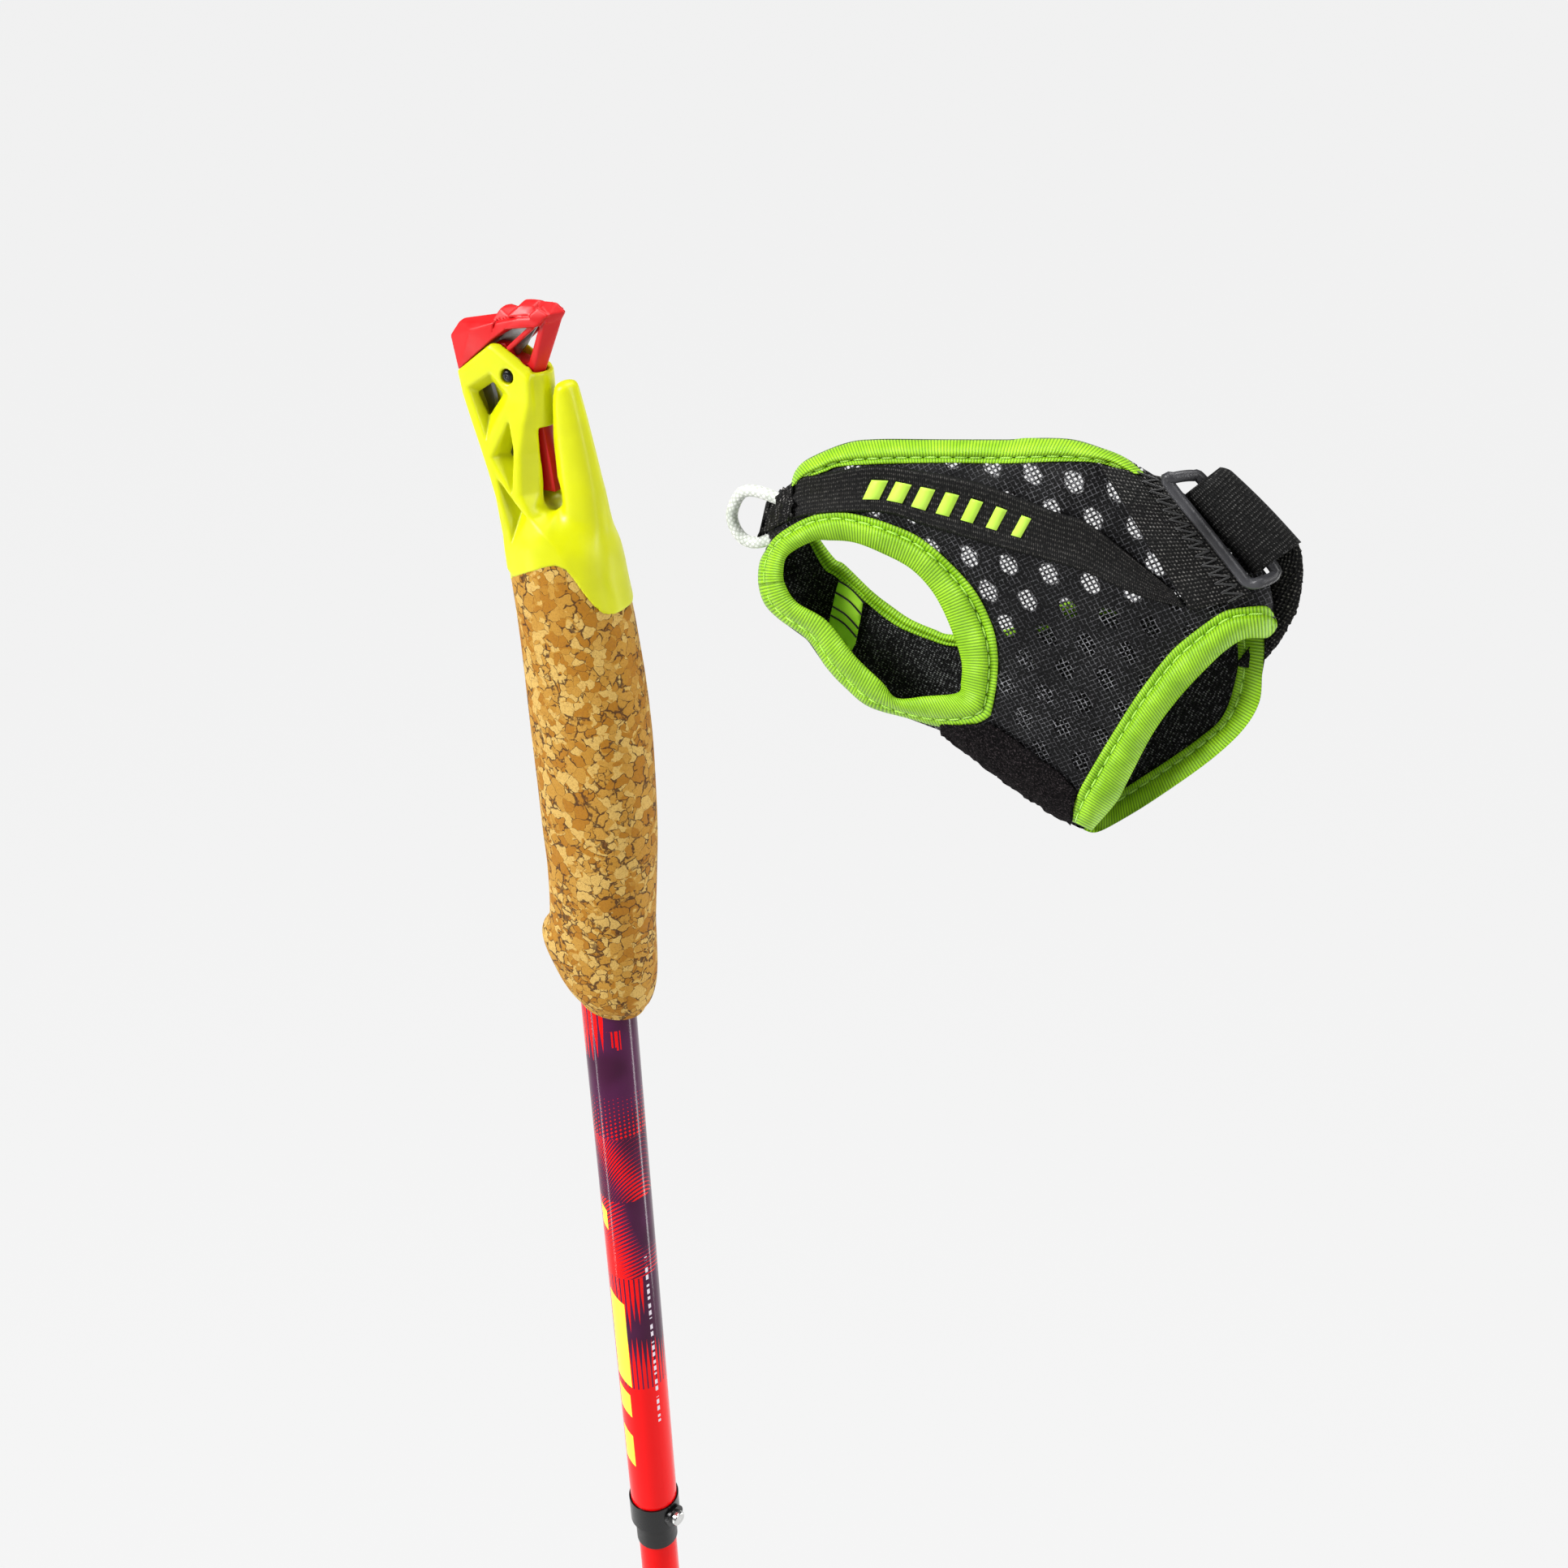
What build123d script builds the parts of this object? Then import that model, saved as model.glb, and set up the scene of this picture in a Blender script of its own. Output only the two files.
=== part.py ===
from build123d import *

import os

# Folding ski pole with a release-lever grip and a click-in hand strap.
# Frame: origin at the point of the tip, +Z up the pole, +X towards the palm side of the grip,
# +Y along the lever pin. Millimetres. Each piece's function returns one separate solid.

# Pole tubes, from the top down
SHAFT_R, SHAFT_BORE_R = 8.0, 7.0
SHAFT_TOP, SHAFT_BOTTOM = 1142.0, 774.0
EXTENSION_R, EXTENSION_BORE_R = 6.6, 5.8
EXTENSION_TOP = 836.0
MIDDLE_R, MIDDLE_BORE_R = 6.2, 5.4
LOWER_R, LOWER_BORE_R = 5.6, 4.9
UPPER_JOINT_Z, LOWER_JOINT_Z = 540.0, 300.0
SPIGOT_LENGTH, SPIGOT_BORE_R = 30.0, 2.0
RUNNING_GAP = 0.05
WALL_CLEARANCE = 0.3

# Locking collar and its button, which points along BUTTON_ANGLE from +X
COLLAR_R, COLLAR_TOP = 8.6, 784.0
SEAL_R, SEAL_BOTTOM = 7.1, 763.0
BUTTON_R, BUTTON_Z, BUTTON_ANGLE = 2.6, 778.3, -10.0
BUTTON_INNER, BUTTON_OUTER = 9.1, 11.6
PLUNGER_R, CLIP_R = 1.9, 5.2

# Tip
TIP_TOP, TIP_BORE_BOTTOM = 78.0, 38.0
PAW_R, PAW_BOTTOM, PAW_TOP = 5.5, 12.0, 36.0
BASKET_Z, BASKET_R = 44.0, 28.0
CORD_R = 1.0
CORD_BOTTOM = 96.0

# Grip sections: height, centre X, half length in X, half width in Y
GRIP_SECTIONS = [
    (991.5, 1.6, 9.4, 9.2), (994.0, 2.0, 10.2, 10.0), (1003.0, 1.6, 11.8, 11.3), (1013.0, 0.2, 14.4, 12.8),
    (1021.0, -0.5, 16.9, 13.4), (1027.0, -0.4, 17.3, 13.6), (1033.0, 1.2, 15.6, 13.6),
    (1042.0, 2.2, 16.1, 13.7), (1055.0, 2.6, 16.8, 13.9), (1070.0, 2.8, 17.1, 14.0),
    (1085.0, 2.7, 17.3, 14.0), (1100.0, 2.3, 16.9, 14.0), (1112.0, 1.6, 16.3, 13.9),
    (1122.0, 0.8, 15.8, 13.8), (1131.0, -0.4, 15.1, 13.5), (1140.0, -1.0, 14.2, 12.6),
    (1150.0, -3.0, 11.4, 10.2),
]
SKIRT_EDGE = [(-30, 1130), (-10.6, 1131.3), (-1.9, 1135.7), (4.2, 1137.8), (7.0, 1136.9),
              (9.4, 1133.2), (13.8, 1125.5), (15.5, 1123.9), (30, 1123.5)]

# Fin of the head, side outline (X, Z) and front outline (half width, Z)
FIN_SIDE = [(-24.2, 1182.6), (-13.4, 1190.5), (-10.7, 1190.7), (-2.6, 1185.4), (0.4, 1183.4),
            (0.8, 1150.0), (0.8, 1141.0), (-11.8, 1141.0), (-13.4, 1152.0), (-15.8, 1158.6),
            (-18.2, 1164.8), (-20.8, 1171.0), (-23.2, 1177.0)]
FIN_FRONT = [(4.6, 1192.0), (5.6, 1189.0), (5.9, 1179.0), (7.8, 1165.0), (10.2, 1152.0), (12.3, 1141.0)]
HORN_SIDE = [(4.8, 1150.0), (4.6, 1162.0), (4.8, 1176.0), (5.4, 1180.6), (6.6, 1182.3), (8.0, 1181.0),
             (9.2, 1176.0), (10.8, 1163.0), (12.8, 1150.0), (15.0, 1138.0), (15.0, 1133.0),
             (0.8, 1133.0), (0.8, 1149.0), (3.0, 1148.2)]
HORN_FRONT = [(2.4, 1183.0), (3.9, 1180.0), (4.6, 1174.0), (5.4, 1160.0), (6.8, 1148.0), (9.5, 1133.0)]
SLEEVE_X, SLEEVE_R, SLEEVE_TOP, SLEEVE_BOTTOM = -3.2, 5.6, 1184.6, 1170.5
POCKET_HALF, SLEEVE_BORE_HALF = 3.8, 3.0
POCKET = [(-16.5, 1200), (-16.5, 1179), (-10.5, 1173), (-8.4, 1151.5), (4.0, 1151.5), (4.0, 1170.5),
          (-1.5, 1170.5), (-1.5, 1200)]
SLEEVE_BORE = [(-1.6, 1170), (1.2, 1170), (1.2, 1200), (-1.6, 1200)]
SIDE_RECESSES = [
    [(-20.8, 1179.9), (-17.7, 1177.6), (-14.1, 1180.6), (-10.4, 1177.5), (-15.5, 1165.0)],
    [(-8.8, 1172.7), (-13.3, 1162.3), (-6.0, 1155.3), (-7.4, 1168.7)],
    [(-13.4, 1158.6), (-3.9, 1149.0), (-8.2, 1144.0), (-10.6, 1143.0)],
]
RECESS_DEPTH = 1.6

# Release lever, side outlines
PIN_X, PIN_Z, PIN_R = -9.0, 1182.9, 1.6
LEVER_WEB_HALF, LEVER_LEG_HALF, LEVER_CAP_HALF = 3.3, 2.6, 4.9
LEVER_CAP = [(-24.4, 1183.4), (-26.6, 1190.0), (-25.5, 1193.4), (-13.0, 1197.6), (-7.1, 1199.4),
             (-1.0, 1201.1), (3.7, 1200.7), (5.9, 1198.7), (3.4, 1196.4), (-3.6, 1195.6),
             (-8.4, 1193.6), (-12.2, 1191.4), (-13.7, 1191.2)]
LEVER_LEG = [(5.6, 1198.2), (1.0, 1187.5), (-0.5, 1183.0), (-0.3, 1170.0), (0.8, 1153.2),
             (-3.0, 1153.2), (-3.4, 1170.0), (-4.2, 1183.5), (1.2, 1197.0)]
LEVER_SPRING = [(-7.9, 1152.2), (-9.1, 1164.0), (-4.0, 1157.5)]
LEVER_STRUT = [(-1.0, 1196.4), (-4.4, 1195.6), (-11.6, 1188.8), (-12.4, 1181.5), (-9.0, 1179.3),
               (-3.6, 1178.8), (-3.8, 1184.2), (-7.6, 1188.4)]

# Hand strap: flat outlines in X, Z, with a front and a back panel either side of Y = 0
PANEL_IN, PANEL_OUT, TRIM_OUT = 7.0, 9.0, 10.4
THUMB_HOLE = [(67, 1149), (75, 1154), (85, 1156), (92, 1154), (99, 1152), (104, 1148), (107, 1143),
              (110, 1137), (112, 1130), (111, 1123), (96, 1119), (85, 1127), (78, 1134), (70, 1139)]
FRONT_PANEL = [(63, 1156), (66, 1164), (72, 1168), (90, 1174), (116, 1173), (133, 1170), (150, 1176),
               (157, 1178), (178, 1156), (170, 1151), (161, 1143), (150, 1122), (139, 1096), (122, 1103),
               (112, 1109), (96, 1113), (82, 1118), (73, 1129), (61, 1137), (59, 1146)]
BACK_HOLE = [(70, 1147), (75, 1151), (85, 1153), (92, 1151), (99, 1148), (104, 1144), (108, 1136),
             (108, 1131.5), (99, 1131), (88, 1134), (76, 1143)]
BACK_PANEL = [(63, 1156), (62, 1164), (68, 1169), (85, 1175), (116, 1178), (138, 1178), (148, 1174),
              (168, 1168), (178, 1152), (177, 1128), (172, 1114), (158, 1099), (143, 1086), (134, 1092),
              (122, 1097), (104, 1107), (82, 1116), (73, 1128), (61, 1137), (59, 1146)]
KNUCKLE_BAND = [(66, 1158), (72, 1167), (90, 1173.6), (116, 1172.6), (133, 1169), (153, 1155.5),
                (138, 1158.5), (122, 1160.5), (103, 1162.5), (92, 1163.5), (76, 1161)]
TAPE_BAND = [(150, 1178), (156, 1179), (177, 1158), (165, 1151)]
TOP_BINDING = [(62, 1161), (64, 1165), (68, 1169.5), (77, 1173.5), (86, 1176), (116, 1180), (131, 1181.6),
               (144, 1179), (149, 1175.6)]
WRIST_BINDING = [(140.5, 1096), (146, 1111), (153, 1127), (161, 1142), (170, 1150.5), (179, 1154)]
LOOP_POINTS = [(62, 1160.2), (55.4, 1160.2), (49.2, 1154.8), (55.4, 1149.4), (62, 1149.4)]
LOOP_R, LOOP_BENDS = 1.45, [4.4, 4.4, 4.4]
RING_CORNERS = [(155, 1181), (162, 1183.5), (183, 1163), (176, 1158.5)]
FLEECE = [(112, 1104.5), (122, 1099), (134, 1093.6), (143, 1088.5), (140, 1086), (122, 1094.5), (110, 1101)]


def side_plate(points, y_low, y_high):
    """Flat piece with an outline in X, Z between two values of Y."""
    face = Plane.XZ * make_face(Polyline(*points, close=True))
    return Pos(0, y_high, 0) * extrude(face, y_high - y_low)


def front_plate(half_outline, x_low, x_high):
    """Flat piece, mirrored about Y = 0, from half widths and heights."""
    points = [(-y, z) for y, z in half_outline] + [(y, z) for y, z in reversed(half_outline)]
    face = Plane.YZ * make_face(Polyline(*points, close=True))
    return Pos(x_low, 0, 0) * extrude(face, x_high - x_low)


def rod(radius, z_low, z_high):
    return Pos(0, 0, (z_low + z_high) / 2) * Cylinder(radius, z_high - z_low)


def tube(outer, inner, z_low, z_high):
    return rod(outer, z_low, z_high) - rod(inner, z_low, z_high)


def cross_rod(radius, x, z, half_length):
    """Round rod along Y."""
    return Pos(x, 0, z) * Rot(90, 0, 0) * Cylinder(radius, 2 * half_length)


def radial(shape):
    """Turns a shape built along +X round to the button's direction."""
    return Rot(0, 0, BUTTON_ANGLE) * shape


def radial_rod(radius, x_low, x_high, z):
    return Pos((x_low + x_high) / 2, 0, z) * Rot(0, 90, 0) * Cylinder(radius, x_high - x_low)


def grip_form():
    sections = [Plane(origin=(x, 0, z)) * Ellipse(length, width) for z, x, length, width in GRIP_SECTIONS]
    return loft(sections, ruled=True)


def below_skirt():
    return side_plate(SKIRT_EDGE + [(30, 980), (-30, 980)], -30, 30)


def cork_grip():
    return (grip_form() & below_skirt()) - rod(SHAFT_R, 980, 1150)


def grip_head():
    fin = side_plate(FIN_SIDE, -20, 20) & front_plate(FIN_FRONT, -40, 40)
    horn = side_plate(HORN_SIDE, -20, 20) & front_plate(HORN_FRONT, -40, 40)
    sleeve = Pos(SLEEVE_X, 0, 0) * rod(SLEEVE_R, SLEEVE_BOTTOM, SLEEVE_TOP)
    sleeve &= side_plate([(-6, 1160), (5, 1160), (5, 1190), (-6, 1190)], -20, 20)
    head = grip_form() + fin + horn + sleeve - below_skirt()
    head -= rod(SHAFT_R, 1100, SHAFT_TOP)
    head -= side_plate(POCKET, -POCKET_HALF, POCKET_HALF)
    head -= side_plate(SLEEVE_BORE, -SLEEVE_BORE_HALF, SLEEVE_BORE_HALF)
    head -= cross_rod(PIN_R, PIN_X, PIN_Z, 12)
    for recess in SIDE_RECESSES:
        solid = side_plate(recess, -20, 20)
        core = front_plate([(y - RECESS_DEPTH, z) for y, z in FIN_FRONT], -40, 40)
        head -= solid - core
    return head


def lever_pin():
    return cross_rod(PIN_R, PIN_X, PIN_Z, 5.75)


def release_lever():
    cap = side_plate(LEVER_CAP, -LEVER_CAP_HALF, LEVER_CAP_HALF)
    leg = side_plate(LEVER_LEG, -LEVER_LEG_HALF, LEVER_LEG_HALF)
    strut = side_plate(LEVER_STRUT, -LEVER_WEB_HALF, LEVER_WEB_HALF)
    return cap + leg + strut - cross_rod(PIN_R + RUNNING_GAP, PIN_X, PIN_Z, 12)


def lever_spring():
    """Bent leaf spring between the pocket's front wall and the latch leg."""
    return outline_band(LEVER_SPRING, 0.5, -2.0, 2.0)


def upper_shaft():
    hole = radial(radial_rod(BUTTON_R + RUNNING_GAP, 0, 12, BUTTON_Z))
    return tube(SHAFT_R, SHAFT_BORE_R, SHAFT_BOTTOM, SHAFT_TOP) - hole


def shaft_plug():
    return rod(SHAFT_BORE_R, SHAFT_TOP - 24, SHAFT_TOP)


def locking_collar():
    body = tube(COLLAR_R, SHAFT_R, SHAFT_BOTTOM, COLLAR_TOP)
    lip = tube(COLLAR_R, EXTENSION_R + WALL_CLEARANCE, SHAFT_BOTTOM - 1.6, SHAFT_BOTTOM)
    lip = chamfer(lip.edges().filter_by(GeomType.CIRCLE).group_by(Axis.Z)[0].sort_by(SortBy.RADIUS)[-1], 1.0)
    boss = radial(radial_rod(BUTTON_R + 1.3, SHAFT_R - 2, COLLAR_R + 0.9, BUTTON_Z)) - rod(SHAFT_R, 760, 800)
    return body + lip + boss - radial(radial_rod(BUTTON_R + RUNNING_GAP, 0, 14, BUTTON_Z))


def wiper_seal():
    return tube(SEAL_R, EXTENSION_R + RUNNING_GAP, SEAL_BOTTOM, SHAFT_BOTTOM - 1.6)


def push_button():
    body = radial_rod(BUTTON_R, BUTTON_INNER, BUTTON_OUTER, BUTTON_Z)
    body = fillet(body.edges().group_by(Axis.X)[-1], 0.6)
    return radial(body)


def lock_plunger():
    """Pin of the lock inside the extension tube, under the button."""
    return radial(radial_rod(PLUNGER_R, CLIP_R, EXTENSION_R - 0.1, BUTTON_Z))


def plunger_spring():
    """Open ring of spring steel that presses the plunger outwards."""
    clip = tube(CLIP_R - 0.1, CLIP_R - 0.5, BUTTON_Z - 3, BUTTON_Z + 3)
    return radial(clip - Pos(-CLIP_R, 0, BUTTON_Z) * Box(4, 5, 10))


def extension_tube():
    body = tube(EXTENSION_R, EXTENSION_BORE_R, UPPER_JOINT_Z, EXTENSION_TOP)
    return body - radial(radial_rod(PLUNGER_R + RUNNING_GAP, 0, 12, BUTTON_Z))


def guide_bush():
    """Slides in the upper shaft and holds the top end of the tension cord."""
    head = rod(SHAFT_BORE_R - RUNNING_GAP, EXTENSION_TOP, EXTENSION_TOP + 7)
    stem = rod(EXTENSION_BORE_R, EXTENSION_TOP - 14, EXTENSION_TOP)
    return head + stem - rod(CORD_R, 800, EXTENSION_TOP + 3)


def joint_socket(tube_radius, z):
    """Sleeve glued round the lower end of a tube, with a lead-in rim."""
    sleeve = tube(tube_radius + 0.9, tube_radius, z, z + 26)
    return chamfer(sleeve.edges().filter_by(GeomType.CIRCLE).group_by(Axis.Z)[-1].sort_by(SortBy.RADIUS)[-1], 0.6)


def joint_spigot(z, outer, tube_bore):
    """Plug fixed in the top of the next tube, that fits up into the tube above."""
    upper = rod(outer, z + 0.6, z + SPIGOT_LENGTH)
    lower = rod(tube_bore, z - 22, z + 0.6)
    return upper + lower - rod(SPIGOT_BORE_R, z - 30, z + 40)


def middle_tube():
    return tube(MIDDLE_R, MIDDLE_BORE_R, LOWER_JOINT_Z, UPPER_JOINT_Z - WALL_CLEARANCE)


def lower_tube():
    return tube(LOWER_R, LOWER_BORE_R, TIP_BORE_BOTTOM, LOWER_JOINT_Z - WALL_CLEARANCE)


def tension_cord():
    return rod(CORD_R - RUNNING_GAP, CORD_BOTTOM, EXTENSION_TOP + 3)


def cord_anchor():
    """Plug in the lower tube under the end of the tension cord."""
    return rod(LOWER_BORE_R, CORD_BOTTOM - 14, CORD_BOTTOM - 1)


def flex_tip():
    profile = [(0, 9), (4.4, 9), (PAW_R, PAW_BOTTOM), (PAW_R, PAW_TOP), (6.6, 40), (6.9, TIP_TOP), (0, TIP_TOP)]
    body = revolve(Plane.XZ * make_face(Polyline(*profile, close=True)), Axis.Z)
    return body - rod(LOWER_R, TIP_BORE_BOTTOM, TIP_TOP) - rod(2.0, 0, 22)


def tip_insert():
    """Carbide point set in the end of the flexible tip."""
    return rod(2.0, 9, 22) + Pos(0, 0, 4.5) * Cone(0.4, 2.0, 9)


def basket():
    disc = tube(BASKET_R, 7.6, BASKET_Z, BASKET_Z + 2.2)
    for i in range(6):
        disc -= Rot(0, 0, 60 * i) * Pos(17.5, 0, BASKET_Z) * Cylinder(5.0, 10)
    hub = tube(9.6, 7.0, BASKET_Z - 3, BASKET_Z + 9)
    rim = Pos(0, 0, BASKET_Z + 1.1) * Torus(BASKET_R, 1.6)
    return disc + hub + rim


def outline_band(points, width, y_low, y_high):
    """Band of even width along an open line."""
    line = Polyline(*points)
    face = make_face(offset(line, width / 2, side=Side.BOTH, closed=True).edges())
    return Pos(0, y_high, 0) * extrude(Plane.XZ * face, y_high - y_low)


def strap_front_panel():
    return side_plate(FRONT_PANEL, -PANEL_OUT, -PANEL_IN) - side_plate(THUMB_HOLE, -20, 0)


def strap_back_panel():
    return side_plate(BACK_PANEL, PANEL_IN, PANEL_OUT) - side_plate(BACK_HOLE, 0, 20)


def strap_thumb_binding():
    grown = offset(make_face(Polyline(*THUMB_HOLE, close=True)), 5.0, kind=Kind.INTERSECTION)
    ring = Pos(0, -PANEL_OUT, 0) * extrude(Plane.XZ * grown, TRIM_OUT - PANEL_OUT)
    ring -= side_plate(THUMB_HOLE, -20, 0)
    return ring - side_plate(KNUCKLE_BAND, -20, 0)


def strap_loop_anchor():
    """Block of folded webbing that joins both panels and holds the ends of the loop."""
    return side_plate([(62, 1147), (62, 1163), (66, 1164), (66, 1147)], -PANEL_IN, PANEL_IN)


def strap_loop():
    path = Plane.XZ * FilletPolyline(*LOOP_POINTS, radius=LOOP_BENDS)
    return sweep(Plane(origin=path @ 0, z_dir=path % 0) * Circle(LOOP_R), path)


def ladder_ring():
    outer = Pos(0, 1.5, 0) * extrude(Plane.XZ * make_face(Polyline(*RING_CORNERS, close=True)), 3)
    hole = offset(make_face(Polyline(*RING_CORNERS, close=True)), -2.0, kind=Kind.INTERSECTION)
    ring = outer - Pos(0, 1.5, 0) * extrude(Plane.XZ * hole, 3)
    return Pos(0, -4.6, 0) * ring


def strap_webbing():
    """Closure webbing, folded round the far bar of the ring and back under the panel."""
    near = side_plate([(163.5, 1181), (170, 1183), (186, 1166), (179.5, 1160.5)], -10.6, -8.2)
    turn = side_plate([(182.0, 1170.2), (170, 1183), (172, 1184), (187.6, 1165), (186, 1162.5)], -8.2, 4.0)
    turn &= side_plate([(178, 1176), (170, 1183), (172, 1184.6), (188, 1166), (186, 1163.6)], -20, 20)
    far = side_plate([(171, 1183.4), (187.6, 1165), (186, 1152), (180, 1153), (174, 1165), (166, 1176)], 4.0, 6.4)
    return near + turn + far


def strap_gusset():
    """Side wall between the panels along the lower edge, from the loop to the wrist."""
    return side_plate([(62, 1139), (74, 1130), (84, 1118.5), (98, 1112.5), (112, 1108), (111, 1104.5),
                       (97, 1110), (82, 1116.5), (72, 1128), (61, 1137)], -PANEL_IN, PANEL_IN)


def strap_fleece():
    return side_plate(FLEECE, -PANEL_IN, PANEL_IN)


PIECES = {
    "cork_grip": cork_grip,
    "grip_head": grip_head,
    "lever_pin": lever_pin,
    "lever_spring": lever_spring,
    "release_lever": release_lever,
    "upper_shaft": upper_shaft,
    "shaft_plug": shaft_plug,
    "locking_collar": locking_collar,
    "wiper_seal": wiper_seal,
    "push_button": push_button,
    "lock_plunger": lock_plunger,
    "plunger_spring": plunger_spring,
    "extension_tube": extension_tube,
    "guide_bush": guide_bush,
    "tension_cord": tension_cord,
    "upper_joint_socket": lambda: joint_socket(EXTENSION_R, UPPER_JOINT_Z),
    "upper_joint_spigot": lambda: joint_spigot(UPPER_JOINT_Z, EXTENSION_BORE_R - RUNNING_GAP, MIDDLE_BORE_R),
    "middle_tube": middle_tube,
    "lower_joint_socket": lambda: joint_socket(MIDDLE_R, LOWER_JOINT_Z),
    "lower_joint_spigot": lambda: joint_spigot(LOWER_JOINT_Z, MIDDLE_BORE_R - RUNNING_GAP, LOWER_BORE_R),
    "lower_tube": lower_tube,
    "cord_anchor": cord_anchor,
    "flex_tip": flex_tip,
    "basket": basket,
    "tip_insert": tip_insert,
    "strap_front_panel": strap_front_panel,
    "strap_back_panel": strap_back_panel,
    "strap_knuckle_band": lambda: side_plate(KNUCKLE_BAND, -TRIM_OUT, -PANEL_OUT),
    "strap_tape_band": lambda: side_plate(TAPE_BAND, -TRIM_OUT, -PANEL_OUT),
    "strap_top_binding": lambda: outline_band(TOP_BINDING, 4.0, PANEL_OUT, TRIM_OUT),
    "strap_thumb_binding": strap_thumb_binding,
    "strap_wrist_binding": lambda: outline_band(WRIST_BINDING, 5.0, -TRIM_OUT, -PANEL_OUT),
    "strap_loop_anchor": strap_loop_anchor,
    "strap_loop": strap_loop,
    "strap_gusset": strap_gusset,
    "strap_fleece": strap_fleece,
    "strap_webbing": strap_webbing,
    "ladder_ring": ladder_ring,
}


def main():
    os.makedirs("parts", exist_ok=True)
    for name, make in PIECES.items():
        shape = make()
        export_step(shape, f"parts/{name}.step")
        print(name, round(shape.volume, 1))


main()
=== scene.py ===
import math

import bmesh
import bpy
import numpy as np
from mathutils import Euler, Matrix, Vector, geometry


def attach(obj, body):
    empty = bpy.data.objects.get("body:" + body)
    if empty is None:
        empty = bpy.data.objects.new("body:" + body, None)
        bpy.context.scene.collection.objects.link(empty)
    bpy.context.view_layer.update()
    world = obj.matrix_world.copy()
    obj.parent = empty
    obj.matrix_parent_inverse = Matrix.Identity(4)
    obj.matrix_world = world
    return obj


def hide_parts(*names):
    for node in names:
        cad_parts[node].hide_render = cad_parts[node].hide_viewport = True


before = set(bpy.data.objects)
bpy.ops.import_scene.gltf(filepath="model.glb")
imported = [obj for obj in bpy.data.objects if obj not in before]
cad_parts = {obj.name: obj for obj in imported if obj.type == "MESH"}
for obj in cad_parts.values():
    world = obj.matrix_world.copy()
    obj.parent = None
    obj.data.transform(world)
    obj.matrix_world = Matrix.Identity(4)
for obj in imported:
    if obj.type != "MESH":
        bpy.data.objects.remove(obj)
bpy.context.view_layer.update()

# Lengths below are in millimetres, in the part's frame, until a mesh is made.
MM = 0.001
SHAFT_R = 8.0
RNG = np.random.default_rng(7)


# ---------------------------------------------------------------- meshes

def add_piece(name, verts, faces, material, body, slot, replaces=(), smooth=True, uvs=None):
    """One mesh object from points in millimetres, riding on a body of the frame."""
    mesh = bpy.data.meshes.new(name)
    points = (np.asarray(verts, float) * MM).tolist()
    mesh.from_pydata(points, [], [tuple(int(i) for i in face) for face in faces])
    if uvs is not None:
        layer = mesh.uv_layers.new(name="UVMap")
        loops = np.zeros(len(mesh.loops), np.int32)
        mesh.loops.foreach_get("vertex_index", loops)
        layer.data.foreach_set("uv", (np.asarray(uvs, np.float32)[loops] * MM).ravel())
    mesh.polygons.foreach_set("use_smooth", [smooth] * len(mesh.polygons))
    mesh.update()
    obj = bpy.data.objects.new(name, mesh)
    bpy.context.scene.collection.objects.link(obj)
    obj.data.materials.append(material.material)
    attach(obj, body)
    if replaces:
        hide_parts(*replaces)
    return obj


def join_parts(parts):
    """Several (verts, faces) pairs as one."""
    verts, faces, start = [], [], 0
    for part_verts, part_faces in parts:
        verts.append(np.asarray(part_verts, float))
        faces.extend(tuple(i + start for i in face) for face in part_faces)
        start += len(part_verts)
    return np.concatenate(verts), faces


def spline(points, step=1.0, closed=False):
    """Catmull-Rom curve through the points, resampled at an even step."""
    points = np.asarray(points, float)
    count = len(points)
    spans = count if closed else count - 1
    out = []
    for i in range(spans):
        if closed:
            p = [points[(i + k) % count] for k in (-1, 0, 1, 2)]
        else:
            p = [points[min(max(i + k, 0), count - 1)] for k in (-1, 0, 1, 2)]
        for t in np.linspace(0, 1, 16, endpoint=False):
            bend = (2 * p[0] - 5 * p[1] + 4 * p[2] - p[3]) * t * t
            twist = (3 * p[1] - p[0] - 3 * p[2] + p[3]) * t ** 3
            out.append(0.5 * (2 * p[1] + (p[2] - p[0]) * t + bend + twist))
    out.append(points[0] if closed else points[-1])
    return even(np.array(out), step, closed)


def run_along(line):
    """Length along a line at each of its points."""
    return np.concatenate([[0], np.cumsum(np.linalg.norm(np.diff(line, axis=0), axis=1))])


def even(line, step, closed=False):
    """The same line with points an even step apart; a closed one leaves out its last point."""
    count = max(int(round(run_along(line)[-1] / step)), 3)
    points = resample(line, count + 1)
    return points[:-1] if closed else points


def resample(line, count):
    """The same line with a given number of points."""
    run = run_along(line)
    wanted = np.linspace(0, run[-1], count)
    return np.stack([np.interp(wanted, run, line[:, k]) for k in range(line.shape[1])], axis=1)


def unit(v):
    return v / np.maximum(np.linalg.norm(v, axis=-1, keepdims=True), 1e-9)


def grid_faces(rows, columns, wrap_rows=False, wrap_columns=False):
    """Quads of a grid of points stored row by row."""
    faces = []
    for i in range(rows if wrap_rows else rows - 1):
        for j in range(columns if wrap_columns else columns - 1):
            a, b = i * columns + j, i * columns + (j + 1) % columns
            c, d = ((i + 1) % rows) * columns + (j + 1) % columns, ((i + 1) % rows) * columns + j
            faces.append((a, b, c, d))
    return faces


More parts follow.
